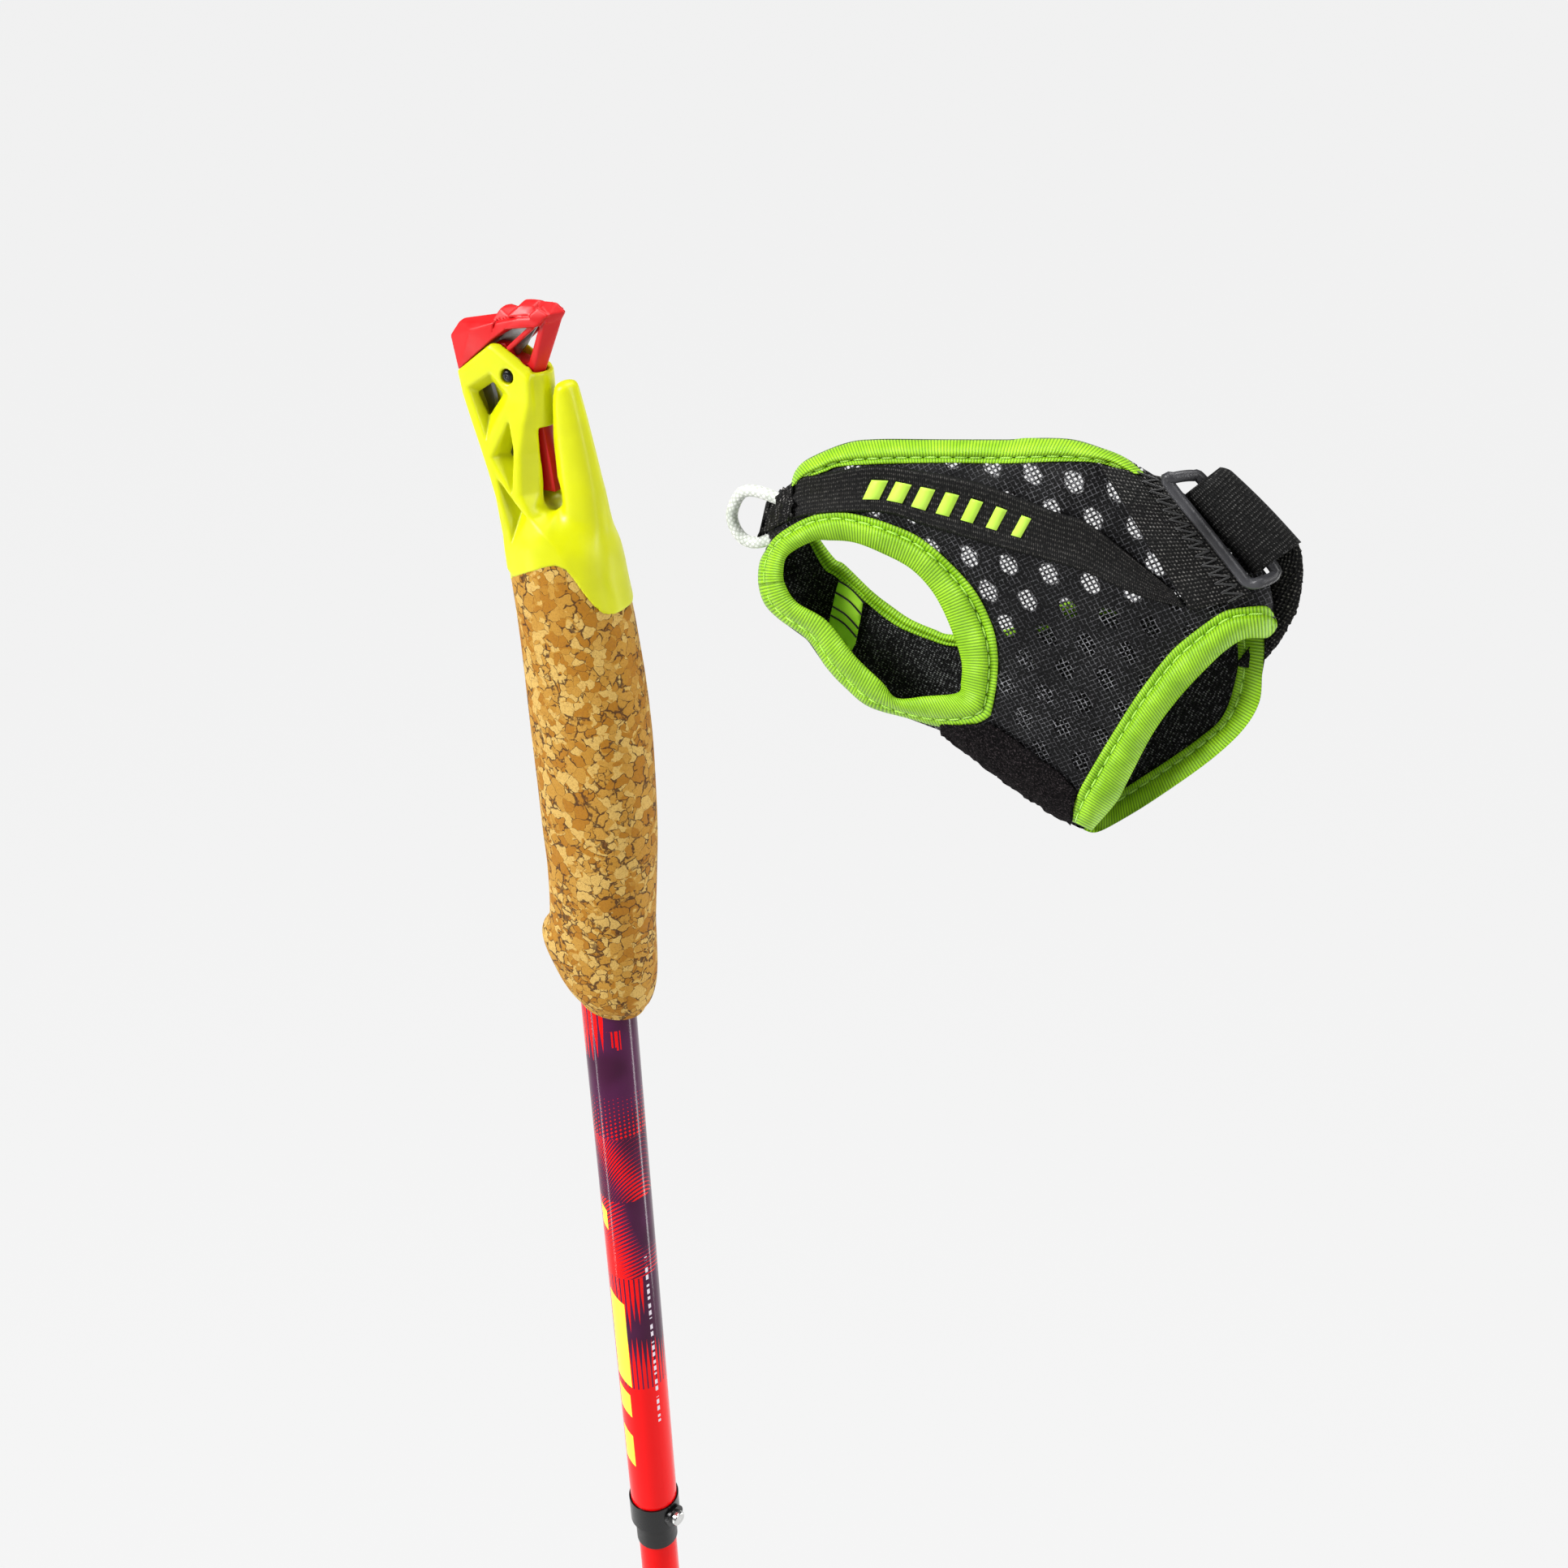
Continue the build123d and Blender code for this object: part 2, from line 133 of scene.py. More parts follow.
def tube_mesh(path, radius, sides=10, closed=False):
    """Round tube along a path; radius is a number or one number per point and side."""
    path = np.asarray(path, float)
    count = len(path)
    tangent = unit(np.roll(path, -1, 0) - np.roll(path, 1, 0)) if closed else unit(np.gradient(path, axis=0))
    normal = np.zeros_like(path)
    guess = np.array([0.0, 1.0, 0.0]) if abs(tangent[0][1]) < 0.9 else np.array([1.0, 0.0, 0.0])
    for i in range(count):
        guess = guess - tangent[i] * guess.dot(tangent[i])
        guess = guess / np.linalg.norm(guess)
        normal[i] = guess
    side = np.cross(tangent, normal)
    angle = np.linspace(0, 2 * math.pi, sides, endpoint=False)
    radius = np.broadcast_to(np.asarray(radius, float), (count, sides))
    ring = normal[:, None] * np.cos(angle)[None, :, None] + side[:, None] * np.sin(angle)[None, :, None]
    verts = (path[:, None] + ring * radius[:, :, None]).reshape(-1, 3)
    faces = grid_faces(count, sides, closed, True)
    if not closed:
        verts = np.concatenate([verts, path[:1], path[-1:]])
        first, last = len(verts) - 2, len(verts) - 1
        for j in range(sides):
            faces.append((first, (j + 1) % sides, j))
            faces.append((last, (count - 1) * sides + j, (count - 1) * sides + (j + 1) % sides))
    return verts, faces


def lathe(profile, segments=96, centre=(0.0, 0.0)):
    """Closed ring profile of (radius, height) points turned about Z."""
    angle = np.linspace(0, 2 * math.pi, segments, endpoint=False)
    profile = np.asarray(profile, float)
    x = centre[0] + profile[:, 0][None] * np.cos(angle)[:, None]
    y = centre[1] + profile[:, 0][None] * np.sin(angle)[:, None]
    z = np.broadcast_to(profile[:, 1][None], x.shape)
    return np.stack([x, y, z], -1).reshape(-1, 3), grid_faces(segments, len(profile), True, True)


# ---------------------------------------------------------------- distance fields

def polygon_distance(points, u, v):
    """Signed distance to a closed outline, negative inside."""
    u, v = np.broadcast_arrays(u, v)
    best = np.full(u.shape, 1e9)
    inside = np.zeros(u.shape, bool)
    for (ax, ay), (bx, by) in zip(points, points[1:] + points[:1]):
        ex, ey = bx - ax, by - ay
        t = np.clip(((u - ax) * ex + (v - ay) * ey) / (ex * ex + ey * ey), 0, 1)
        best = np.minimum(best, np.hypot(u - ax - t * ex, v - ay - t * ey))
        if ey:
            inside ^= ((ay > v) != (by > v)) & (u < ex * (v - ay) / ey + ax)
    return np.where(inside, -best, best)


def join(a, b, blend):
    """Union of two distance fields with a rounded seam."""
    h = np.clip(0.5 + 0.5 * (b - a) / blend, 0, 1)
    return b + (a - b) * h - blend * h * (1 - h)


def keep(a, b, blend):
    """Intersection of two distance fields with a rounded edge."""
    return -join(-a, -b, blend)


def cut(a, b, blend):
    return keep(a, -b, blend)


def surface_net(field, low, step):
    """Quads on the zero level of a sampled field (naive surface nets)."""
    size = np.array(field.shape)
    total = np.zeros(tuple(size - 1) + (3,))
    hits = np.zeros(tuple(size - 1))
    edges = []
    for axis in range(3):
        a = field[tuple(slice(0, -1) if k == axis else slice(None) for k in range(3))]
        b = field[tuple(slice(1, None) if k == axis else slice(None) for k in range(3))]
        crossing = (a < 0) != (b < 0)
        t = np.where(crossing, a / np.where(crossing, a - b, 1), 0)
        edges.append((crossing, a < 0))
        p, q = [k for k in range(3) if k != axis]
        for i in (0, 1):
            for j in (0, 1):
                window = [slice(None)] * 3
                window[p] = slice(i, i + size[p] - 1)
                window[q] = slice(j, j + size[q] - 1)
                found = crossing[tuple(window)]
                total[..., axis] += t[tuple(window)]
                total[..., p] += found * i
                total[..., q] += found * j
                hits += found
    active = hits > 0
    index = np.full(active.shape, -1)
    index[active] = np.arange(active.sum())
    verts = (np.argwhere(active) + total[active] / hits[active][:, None]) * step + np.asarray(low)
    faces = []
    for axis, (crossing, inward) in enumerate(edges):
        p, q = [k for k in range(3) if k != axis]
        at = np.argwhere(crossing)
        at = at[(at[:, p] > 0) & (at[:, q] > 0) & (at[:, p] < size[p] - 1) & (at[:, q] < size[q] - 1)]
        dp, dq = np.eye(3, dtype=int)[p], np.eye(3, dtype=int)[q]
        quad = np.stack([index[tuple(x.T)] for x in (at, at - dp, at - dp - dq, at - dq)], 1)
        flip = inward[tuple(at.T)] == (axis == 1)
        quad[flip] = quad[flip][:, ::-1]
        faces.append(quad)
    return verts, np.concatenate(faces)


def sample_grid(low, high, step):
    axes = [np.arange(a, b + step, step) for a, b in zip(low, high)]
    return np.meshgrid(*axes, indexing="ij", sparse=True)


def hull_planes(points):
    """Outward planes of the convex hull of points, mirrored about Y = 0."""
    bm = bmesh.new()
    for x, y, z in points:
        bm.verts.new((x, y, z))
        if y:
            bm.verts.new((x, -y, z))
    bmesh.ops.convex_hull(bm, input=bm.verts)
    bm.normal_update()
    centre = sum((v.co for v in bm.verts), Vector()) / len(bm.verts)
    planes = []
    for face in bm.faces:
        normal = face.normal if (face.calc_center_median() - centre).dot(face.normal) > 0 else -face.normal
        plane = (normal.x, normal.y, normal.z, normal.dot(face.verts[0].co))
        if all(sum((a - b) ** 2 for a, b in zip(plane, other)) > 1e-4 for other in planes):
            planes.append(plane)
    bm.free()
    return planes


def hull_distance(points, x, y, z, edge=0.2):
    """Field of a convex body with slightly worn edges."""
    out = None
    for a, b, c, d in hull_planes(points):
        plane = a * x + b * y + c * z - d
        out = plane if out is None else keep(out, plane, edge)
    return out


# ---------------------------------------------------------------- materials

def plug(tree, item, socket):
    """Links a value or a socket to an input, or sets the input to a constant."""
    if isinstance(item, Value):
        item = item.socket
    if isinstance(item, bpy.types.NodeSocket):
        tree.links.new(item, socket)
    else:
        socket.default_value = item


def new_node(tree, kind, *items, **named):
    """A node whose inputs, by number or by name, take the given items."""
    node = tree.nodes.new(kind)
    for key, item in [*enumerate(items), *named.items()]:
        plug(tree, item, node.inputs[key])
    return node


def rgba(item):
    return item + (1.0,) if isinstance(item, tuple) else item


class Value:
    """A shader value; arithmetic on it adds Math nodes."""

    def __init__(self, tree, socket):
        self.tree, self.socket = tree, socket

    def math(self, operation, *others):
        node = new_node(self.tree, "ShaderNodeMath", self, *others)
        node.operation = operation
        return Value(self.tree, node.outputs[0])

    def __add__(self, other):
        return self.math("ADD", other)

    def __sub__(self, other):
        return self.math("SUBTRACT", other)

    def __mul__(self, other):
        return self.math("MULTIPLY", other)

    def __truediv__(self, other):
        return self.math("DIVIDE", other)

    def ramp(self, low, high, to_low=0.0, to_high=1.0):
        node = new_node(self.tree, "ShaderNodeMapRange", self, low, high, to_low, to_high)
        node.interpolation_type = "SMOOTHSTEP"
        return Value(self.tree, node.outputs[0])

    def above(self, edge, soft=0.0):
        """1 where the value is above edge, with a soft step of the given width."""
        if not soft:
            return self.math("GREATER_THAN", edge)
        return self.ramp(edge - soft / 2, edge + soft / 2)

    def below(self, edge, soft=0.0):
        return self.above(edge, soft).invert()

    def within(self, low, high):
        return self.above(low) * self.below(high)

    def invert(self):
        return self.math("MULTIPLY_ADD", -1.0, 1.0)

    def either(self, *others):
        """The greatest of several masks."""
        found = self
        for other in others:
            found = found.math("MAXIMUM", other)
        return found

    def wave(self, period, phase=0.0):
        """Triangle wave from 0 to 1."""
        return (self / period + phase).math("PINGPONG", 0.5) * 2.0


class Material:
    """A node material built around one Principled shader."""

    def __init__(self, name, roughness=0.5, metallic=0.0, **inputs):
        self.material = bpy.data.materials.new(name)
        self.material.use_nodes = True
        self.tree = self.material.node_tree
        self.shader = self.tree.nodes["Principled BSDF"]
        self.coords = self.tree.nodes.new("ShaderNodeTexCoord")
        self.put(Roughness=roughness, Metallic=metallic, **inputs)

    def put(self, **inputs):
        """Sets inputs of the shader, with an underscore for each space in a name."""
        for key, item in inputs.items():
            plug(self.tree, item, self.shader.inputs[key.replace("_", " ")])
        return self

    def axes(self, output="Object"):
        """X, Y and Z of a coordinate, in millimetres."""
        node = new_node(self.tree, "ShaderNodeSeparateXYZ", self.coords.outputs[output])
        return [Value(self.tree, socket) * 1000.0 for socket in node.outputs]

    def vector(self, x, y, z=0.0):
        return new_node(self.tree, "ShaderNodeCombineXYZ", x, y, z).outputs[0]

    def noise(self, size, detail=3.0, at=None, roughness=0.5):
        """Noise with features of about size millimetres."""
        scale = 1.0 / size if at is not None else 1000.0 / size
        vector = at if at is not None else self.coords.outputs["Object"]
        node = new_node(self.tree, "ShaderNodeTexNoise", Scale=scale, Detail=detail, Roughness=roughness,
                        Vector=vector)
        return Value(self.tree, node.outputs[0])

    def cells(self, size, at, randomness=1.0, feature="F1"):
        node = new_node(self.tree, "ShaderNodeTexVoronoi", Scale=1.0 / size, Randomness=randomness, Vector=at)
        node.feature = feature
        return node

    def cell_chance(self, size, at, randomness=1.0, channel=0):
        """A random number for each cell."""
        node = self.cells(size, at, randomness)
        split = new_node(self.tree, "ShaderNodeSeparateColor", node.outputs["Color"])
        return Value(self.tree, split.outputs[channel])

    def cell_edge(self, size, at):
        """Distance to the edge of the cell."""
        return Value(self.tree, self.cells(size, at, feature="DISTANCE_TO_EDGE").outputs["Distance"])

    def mix(self, share, a, b):
        """Colour a where share is 0 and b where it is 1."""
        node = self.tree.nodes.new("ShaderNodeMix")
        node.data_type = "RGBA"
        for item, key in ((share, 0), (rgba(a), 6), (rgba(b), 7)):
            plug(self.tree, item, node.inputs[key])
        return node.outputs[2]

    def colour(self, item):
        return self.put(Base_Color=rgba(item))

    def rough(self, value):
        return self.put(Roughness=value)

    def bump(self, height, depth):
        """Relief of the given depth in millimetres."""
        node = new_node(self.tree, "ShaderNodeBump", Distance=depth * MM, Height=height)
        return self.put(Normal=node.outputs[0])

    def open_where(self, mask):
        """Lets light and sight through where mask is 1."""
        clear = self.tree.nodes.new("ShaderNodeBsdfTransparent")
        mixer = new_node(self.tree, "ShaderNodeMixShader", mask, self.shader.outputs[0], clear.outputs[0])
        plug(self.tree, mixer.outputs[0], self.tree.nodes["Material Output"].inputs["Surface"])
        return self


def srgb(r, g, b):
    """Linear colour from 0 to 255 sRGB values."""
    return tuple((c / 255 / 12.92) if c <= 10 else ((c / 255 + 0.055) / 1.055) ** 2.4 for c in (r, g, b))


def moulded_plastic(name, base, light, roughness, grain=0.5, relief=0.02, glow=0.0):
    """Moulded plastic with faint flow marks and a fine satin texture; glow lets light a little way in."""
    m = Material(name, roughness, Specular_IOR_Level=0.35)
    m.colour(m.mix(m.noise(9.0, 2.0).ramp(0.3, 0.75), base, light))
    m.rough(m.noise(3.0, 4.0).ramp(0.3, 0.7, roughness - 0.05, roughness + 0.07))
    if glow:
        m.put(Subsurface_Weight=glow, Subsurface_Radius=(3.0, 2.6, 0.6), Subsurface_Scale=MM)
    return m.bump(m.noise(grain, 3.0), relief)


def metal(name, base, roughness):
    """Turned or drawn metal with fine rings and slight stains."""
    m = Material(name, roughness, 1.0)
    x, y, z = m.axes()
    rings = m.noise(0.12, 2.0, at=m.vector(x * 0.02, y * 0.02, z))
    m.colour(m.mix(m.noise(4.0).ramp(0.35, 0.7), base, tuple(c * 0.8 for c in base)))
    m.rough(rings.ramp(0.2, 0.8, roughness * 0.8, roughness * 1.3))
    return m.bump(rings, 0.01)


def lacquer(name, base, deep):
    """Glossy lacquer with slight orange peel and dust."""
    m = Material(name, 0.16, 0.0, Specular_IOR_Level=0.09)
    m.colour(m.mix(m.noise(20.0, 2.0).ramp(0.3, 0.7), base, deep))
    m.rough(m.noise(2.0, 4.0).ramp(0.4, 0.8, 0.13, 0.24))
    return m.bump(m.noise(2.5, 2.0), 0.01)


def cork_material():
    """Pressed cork: chips of three tones in two sizes, with grain, dark seams and blots."""
    m = Material("cork", 0.75, 0.0, Specular_IOR_Level=0.2)
    x, y, z = m.axes()
    at = m.vector(x + m.noise(3.0, 2.0) * 3.0, y + m.noise(2.4, 2.0) * 3.0, z * 0.95 + m.noise(2.0, 2.0) * 2.0)
    broken = m.noise(8.0, 2.0).above(0.52, 0.04)
    whole = broken.invert()
    chip, bit = 3.5, 2.2
    pick = m.cell_chance(chip, at) * whole + m.cell_chance(bit, at) * broken
    edge = m.cell_edge(chip, at) * whole + m.cell_edge(bit, at) * broken
    tan = m.mix(pick.ramp(0.1, 0.55), srgb(172, 122, 36), srgb(184, 138, 56))
    pale = m.mix(pick.above(0.66, 0.08), tan, srgb(202, 166, 90))
    ochre = m.mix(pick.below(0.24, 0.06), pale, srgb(164, 110, 26))
    grain = m.noise(0.45, 4.0, roughness=0.75)
    flecked = m.mix(grain.ramp(0.42, 0.72) * 0.55, ochre, srgb(128, 80, 30))
    width = m.noise(5.0, 3.0).ramp(0.40, 0.66, 0.01, 0.12)
    seam = edge.ramp(width * 0.35, width).invert() * m.noise(1.6, 3.0).ramp(0.30, 0.48)
    blot = m.noise(5.0, 5.0, roughness=0.72).above(0.63, 0.03)
    m.colour(m.mix(seam.either(blot * 0.8) * 0.9, flecked, srgb(66, 38, 18)))
    m.rough(m.noise(0.6).ramp(0.3, 0.7, 0.62, 0.85))
    return m.bump(grain * 0.4 + seam.invert() * 0.6, 0.12)


# The print on the shaft: heights between which each part lies, and a turn that puts its seam at the back
PRINT_TURN = math.radians(242)
PRINT_TOP, PRINT_BLOCKS, PRINT_DOTS, PRINT_ARCS = 978.0, (982.5, 989.5), (949.0, 965.0), (924.0, 949.0)
PRINT_RIPPLES, PRINT_POSTS, PRINT_STEMS, PRINT_FLOOR = (892.0, 924.0), (862.0, 892.0), 874.0, 843.0
PRINT_TICKS = (826.0, 900.0)
# Yellow bars: bottom, top and where they end round the shaft
PRINT_BARS = [(910.5, 918.5, -6.6), (845.0, 882.5, -3.1), (830.0, 840.5, -4.2), (805.5, 820.5, -4.7)]


def print_top(m, s, z):
    """Upright bars of uneven length, with a few blocks beside them."""
    end = (s * 1.1 + 981.0) + m.noise(3.0, 0.0, at=m.vector(s, 0.0)) * 6.0
    bars = (s.wave(1.9) - ((z - end) / 14.0).math("MINIMUM", 0.72)).below(0.0) * s.below(-1.2)
    chance = m.cell_chance(1.3, m.vector(s * 0.9, z * 0.45), 0.0, 1)
    blocks = chance.above(0.45) * s.within(-0.6, 3.6) * z.within(*PRINT_BLOCKS) * s.wave(1.5).above(0.35)
    return (bars * z.above(PRINT_TOP)).either(blocks)


def print_rows(s, z):
    """Rows of dots that grow into arcs and ripples."""
    dots = ((z + s * s * 0.045 - s * 0.35).wave(1.5) + s.wave(1.4, 0.25)) * 0.5
    upper = dots.below(z.ramp(944.0, 965.0, 0.44, 0.12)) * z.within(*PRINT_DOTS)
    limb = (z - 938.0 + (s + 1.0) * 1.9).math("ABSOLUTE")
    arcs = (z + s * s * 0.10 - s * 1.15).wave(1.6).below(limb.ramp(0.0, 15.0, 0.56, 0.05))
    solid = z.ramp(886.0, 926.0, 0.95, 0.26) + s.ramp(-6.5, 6.5, 1.0, 0.0) * 0.5
    solid = solid - 0.35 + s.ramp(-6.0, 6.0, 0.1, -0.3)
    ripples = (z + s * s * 0.05 - s * 0.55).wave(1.6).below(solid)
    return upper.either(arcs * z.within(*PRINT_ARCS), ripples * z.within(*PRINT_RIPPLES))


def print_posts(m, s, z):
    """Posts that hang from above and rise from a solid floor."""
    post = s.wave(1.6)
    hang = (z - 868.0 - s * 1.1 - m.noise(2.0, 0.0, at=m.vector(s, 3.0)) * 9.0) / 16.0
    posts = post.below(hang.math("MINIMUM", 0.7)) * z.within(*PRINT_POSTS) * s.below(4.2)
    rise = z.invert() + 866.0 + m.noise(2.0, 0.0, at=m.vector(s, 9.0)) * 9.0
    rise = (rise - s.ramp(-8.0, 8.0, 0.0, 9.0)) / 18.0
    stems = post.below(rise.math("MINIMUM", 0.72)) * z.below(PRINT_STEMS)
    return posts.either(stems, z.below(PRINT_FLOOR))


def printed_shaft_material():
    """Gloss lacquer over a red pattern on plum, drawn by height and by s, the way round the shaft."""
    m = Material("printed_shaft", 0.16, 0.0, Specular_IOR_Level=0.14)
    x, y, z = m.axes()
    turned = (y.math("ARCTAN2", x) + PRINT_TURN).math("MODULO", 2 * math.pi)
    s = (turned - math.pi) * SHAFT_R
    red = print_top(m, s, z).either(print_rows(s, z), print_posts(m, s, z))
    plum = m.mix(m.noise(14.0, 1.0).ramp(0.3, 0.7), srgb(62, 14, 48), srgb(78, 24, 66))
    printed = m.mix(red, plum, srgb(236, 4, 6))
    slant = z + s * 0.6 + 3.6
    for low, high, edge in PRINT_BARS:
        printed = m.mix(s.within(-9.6, edge) * slant.within(low, high), printed, srgb(232, 240, 74))
    tick = z.wave(3.1).above(0.36) * (z * 0.31).wave(2.6).above(0.22)
    printed = m.mix(tick * s.within(4.9, 5.9) * z.within(*PRINT_TICKS), printed, srgb(225, 215, 225))
    m.colour(printed)
    m.rough(m.noise(1.6, 4.0).ramp(0.4, 0.8, 0.12, 0.22))
    return m.bump(m.noise(6.0, 1.0), 0.004)


def ribbed_binding():
    """Lime ribbed tape with painted shade in the grooves between its ribs and its yarns; U runs along it and V
    across, in millimetres.
    """
    m = Material("lime_binding", 0.5, 0.0, Specular_IOR_Level=0.35)
    u, v, _ = m.axes("UV")
    rib = u.wave(0.75)
    yarn = (v + u * 0.15).wave(0.34)
    tone = m.noise(6.0, 2.0).ramp(0.3, 0.7)
    base = m.mix(tone, srgb(142, 197, 15), srgb(164, 220, 34))
    # Painted shade: the grooves between the ribs, and faintly those between the yarns, are darkened to deep
    # green.
    ribs_with_painted_shade = m.mix(rib.ramp(0.0, 0.8).invert() * 0.75 + yarn.invert() * 0.12, base, srgb(64, 108, 2))
    m.colour(ribs_with_painted_shade)
    m.rough(m.noise(1.0).ramp(0.3, 0.7, 0.42, 0.58))
    return m.bump(rib * 0.8 + yarn * 0.2, 0.12)


def woven(name, dark, light, pitch_u, pitch_v, slant=0.0, relief=0.08):
    """Plain black weave along U and V."""
    m = Material(name, 0.62, 0.0, Specular_IOR_Level=0.12)
    u, v, _ = m.axes("UV")
    jitter = m.noise(0.8, 2.0) * 0.25
    over = (u + v * slant + jitter).wave(pitch_u)
    under = (v - u * slant * 0.5 + jitter).wave(pitch_v)
    thread = over * 0.55 + under * 0.45
    lit = thread.ramp(0.5, 0.98) * m.noise(0.5, 3.0).ramp(0.38, 0.68)
    m.colour(m.mix(lit, dark, light))
    m.rough(m.noise(0.4).ramp(0.3, 0.7, 0.5, 0.75))
    return m.bump(thread, relief)


def spacer_mesh():
    """Black fabric with round openings under a fine net, laid out in the flat."""
    m = Material("strap_mesh", 0.6, 0.0, Specular_IOR_Level=0.12)
    x, z, _ = m.axes("UV")
    wobble = m.noise(6.0, 2.0) * 1.2
    p, q = x * 0.84 + z * 0.54 + wobble, z * 0.84 - x * 0.54 + wobble * 0.7
    wire = p.wave(1.12).either(q.wave(1.06))
    net, core = wire.above(0.60, 0.12), wire.above(0.84, 0.12)
    row = (z + x * 0.05) / 7.5
    shift = row.math("FLOOR").math("PINGPONG", 1.0) * 4.8
    cx = ((x + shift) / 9.6).math("FRACT") - 0.5
    cz = row.math("FRACT") - 0.5
    lean = cx * 9.6 + cz * 1.6
    spot = (lean * lean + cz * cz * 42.0).math("SQRT") + m.noise(1.7, 3.0) * 2.0
    hole = spot.below(3.15, 0.6)
    strand = m.noise(0.6, 3.0).ramp(0.36, 0.66)
    lit = core * strand * (hole * 0.65 + 0.35) * m.noise(14.0, 2.0).ramp(0.3, 0.7, 0.5, 1.0)
    m.colour(m.mix(lit, srgb(8, 8, 9), srgb(142, 142, 146)))
    m.bump(net * 0.6 + hole.invert() * 0.4, 0.3)
    return m.open_where(hole * net.below(0.5))


def knit_lining():
    """Fine black knit."""
    m = Material("strap_lining", 0.7, 0.0, Specular_IOR_Level=0.12)
    x, y, z = m.axes()
    p, q = x * 0.94 - z * 0.34, z * 0.94 + x * 0.34
    knit = (p + m.noise(1.5) * 0.8).wave(0.8) * 0.5 + (q + m.noise(1.1) * 0.6).wave(0.55) * 0.5
    lit = knit.ramp(0.45, 0.85) * m.noise(0.7, 4.0).ramp(0.45, 0.62)
    m.colour(m.mix(lit, srgb(13, 13, 14), srgb(128, 128, 130)))
    return m.bump(knit, 0.2)


def napped_fleece():
    """Dark napped cloth with a pale bloom."""
    m = Material("fleece", 0.95, 0.0, Specular_IOR_Level=0.05)
    speck = m.noise(0.5, 5.0, roughness=0.8)
    m.colour(m.mix(speck.ramp(0.5, 0.7), srgb(12, 11, 12), srgb(84, 76, 78)))
    return m.bump(speck, 0.35)


def braided_cord():
    """Silvery braid with painted shade in the gaps between its strands; U runs along it and V around."""
    m = Material("silver_cord", 0.45, 0.0, Sheen_Weight=0.4, Sheen_Roughness=0.4)
    u, v, _ = m.axes("UV")
    weave = (u + v).wave(1.5) * (u - v).wave(1.5)
    tint = m.mix(m.noise(3.0).ramp(0.4, 0.7), srgb(226, 228, 222), srgb(196, 202, 192))
    # Painted shade: greenish grey in the gaps between the strands of the braid.
    m.colour(m.mix(weave.ramp(0.0, 0.45).invert() * 0.6, tint, srgb(140, 146, 132)))
    return m.bump(weave * 0.7 + m.noise(0.3) * 0.3, 0.10)


def thread(name, light, dark):
    """Twisted thread, with painted shade in the grooves of the twist and a painted highlight on its crowns."""
    m = Material(name, 0.5, 0.0, Sheen_Weight=0.3)
    u, v, _ = m.axes("UV")
    twist = (u + v * 0.8).wave(0.5)
    # Painted light: each groove of the twist runs to the dark colour and each crown to the light one.
    m.colour(m.mix(twist.ramp(0.1, 0.8), dark, light))
    return m.bump(twist, 0.04)


NEON = moulded_plastic("neon_plastic", srgb(196, 200, 0), srgb(204, 208, 4), 0.36, glow=0.35)
RED = moulded_plastic("red_plastic", srgb(188, 8, 14), srgb(200, 16, 20), 0.42, 1.2, 0.012)
CORK = cork_material()
SHAFT_PRINT = printed_shaft_material()
RED_TUBE = lacquer("red_tube", srgb(236, 4, 4), srgb(222, 2, 4))
PLUM_TUBE = lacquer("plum_tube", srgb(70, 24, 56), srgb(56, 16, 44))
BLACK_METAL = moulded_plastic("black_metal", srgb(12, 12, 13), srgb(8, 8, 9), 0.22, 2.0, 0.01)
BLACK_RUBBER = moulded_plastic("black_rubber", srgb(16, 15, 15), srgb(12, 11, 11), 0.38, 0.6, 0.02)
BLACK_PLASTIC = moulded_plastic("black_plastic", srgb(26, 26, 27), srgb(34, 34, 35), 0.5, 0.4, 0.03)
STEEL = metal("bright_steel", srgb(214, 214, 212), 0.2)
SPRING = metal("spring_steel", srgb(150, 150, 150), 0.32)
ALUMINIUM = metal("bare_aluminium", srgb(190, 192, 195), 0.3)
DARK_METAL = metal("dark_metal", srgb(52, 53, 56), 0.35)
CARBIDE = metal("carbide", srgb(120, 120, 124), 0.3)
LIME = ribbed_binding()
BAND = woven("strap_band", srgb(12, 12, 12), srgb(92, 90, 86), 0.5, 1.1, 0.0, 0.14)
TAPE = woven("strap_tape", srgb(10, 10, 10), srgb(124, 122, 118), 0.95, 0.8, 0.0, 0.16)
WEBBING = woven("webbing", srgb(9, 9, 9), srgb(92, 91, 89), 0.95, 0.45, 0.1, 0.2)
MESH = spacer_mesh()
LINING = knit_lining()
CORD = braided_cord()
LIME_THREAD = thread("lime_thread", srgb(196, 240, 90), srgb(120, 190, 30))
BLACK_THREAD = thread("black_thread", srgb(60, 60, 62), srgb(10, 10, 10))
RING_PLASTIC = moulded_plastic("ring_plastic", srgb(34, 34, 36), srgb(62, 62, 65), 0.34, 0.5, 0.10)
FLEECE_NAP = napped_fleece()
STRIPE = moulded_plastic("band_print", srgb(176, 222, 62), srgb(190, 232, 80), 0.45, 0.5, 0.02)
# Painted light: the patch's lime is lifted above the bindings' lime to make up for the shade it gets inside
# the strap.
PATCH_CLOTH = moulded_plastic("patch_cloth", srgb(170, 240, 40), srgb(196, 252, 70), 0.7, 0.6, 0.1)
HOOKS = woven("hook_tape", srgb(10, 10, 10), srgb(120, 118, 110), 0.9, 0.9, 0.5, 0.3)
TENSION_CORD = thread("cord", srgb(60, 60, 62), srgb(18, 18, 18))


# ---------------------------------------------------------------- cork grip

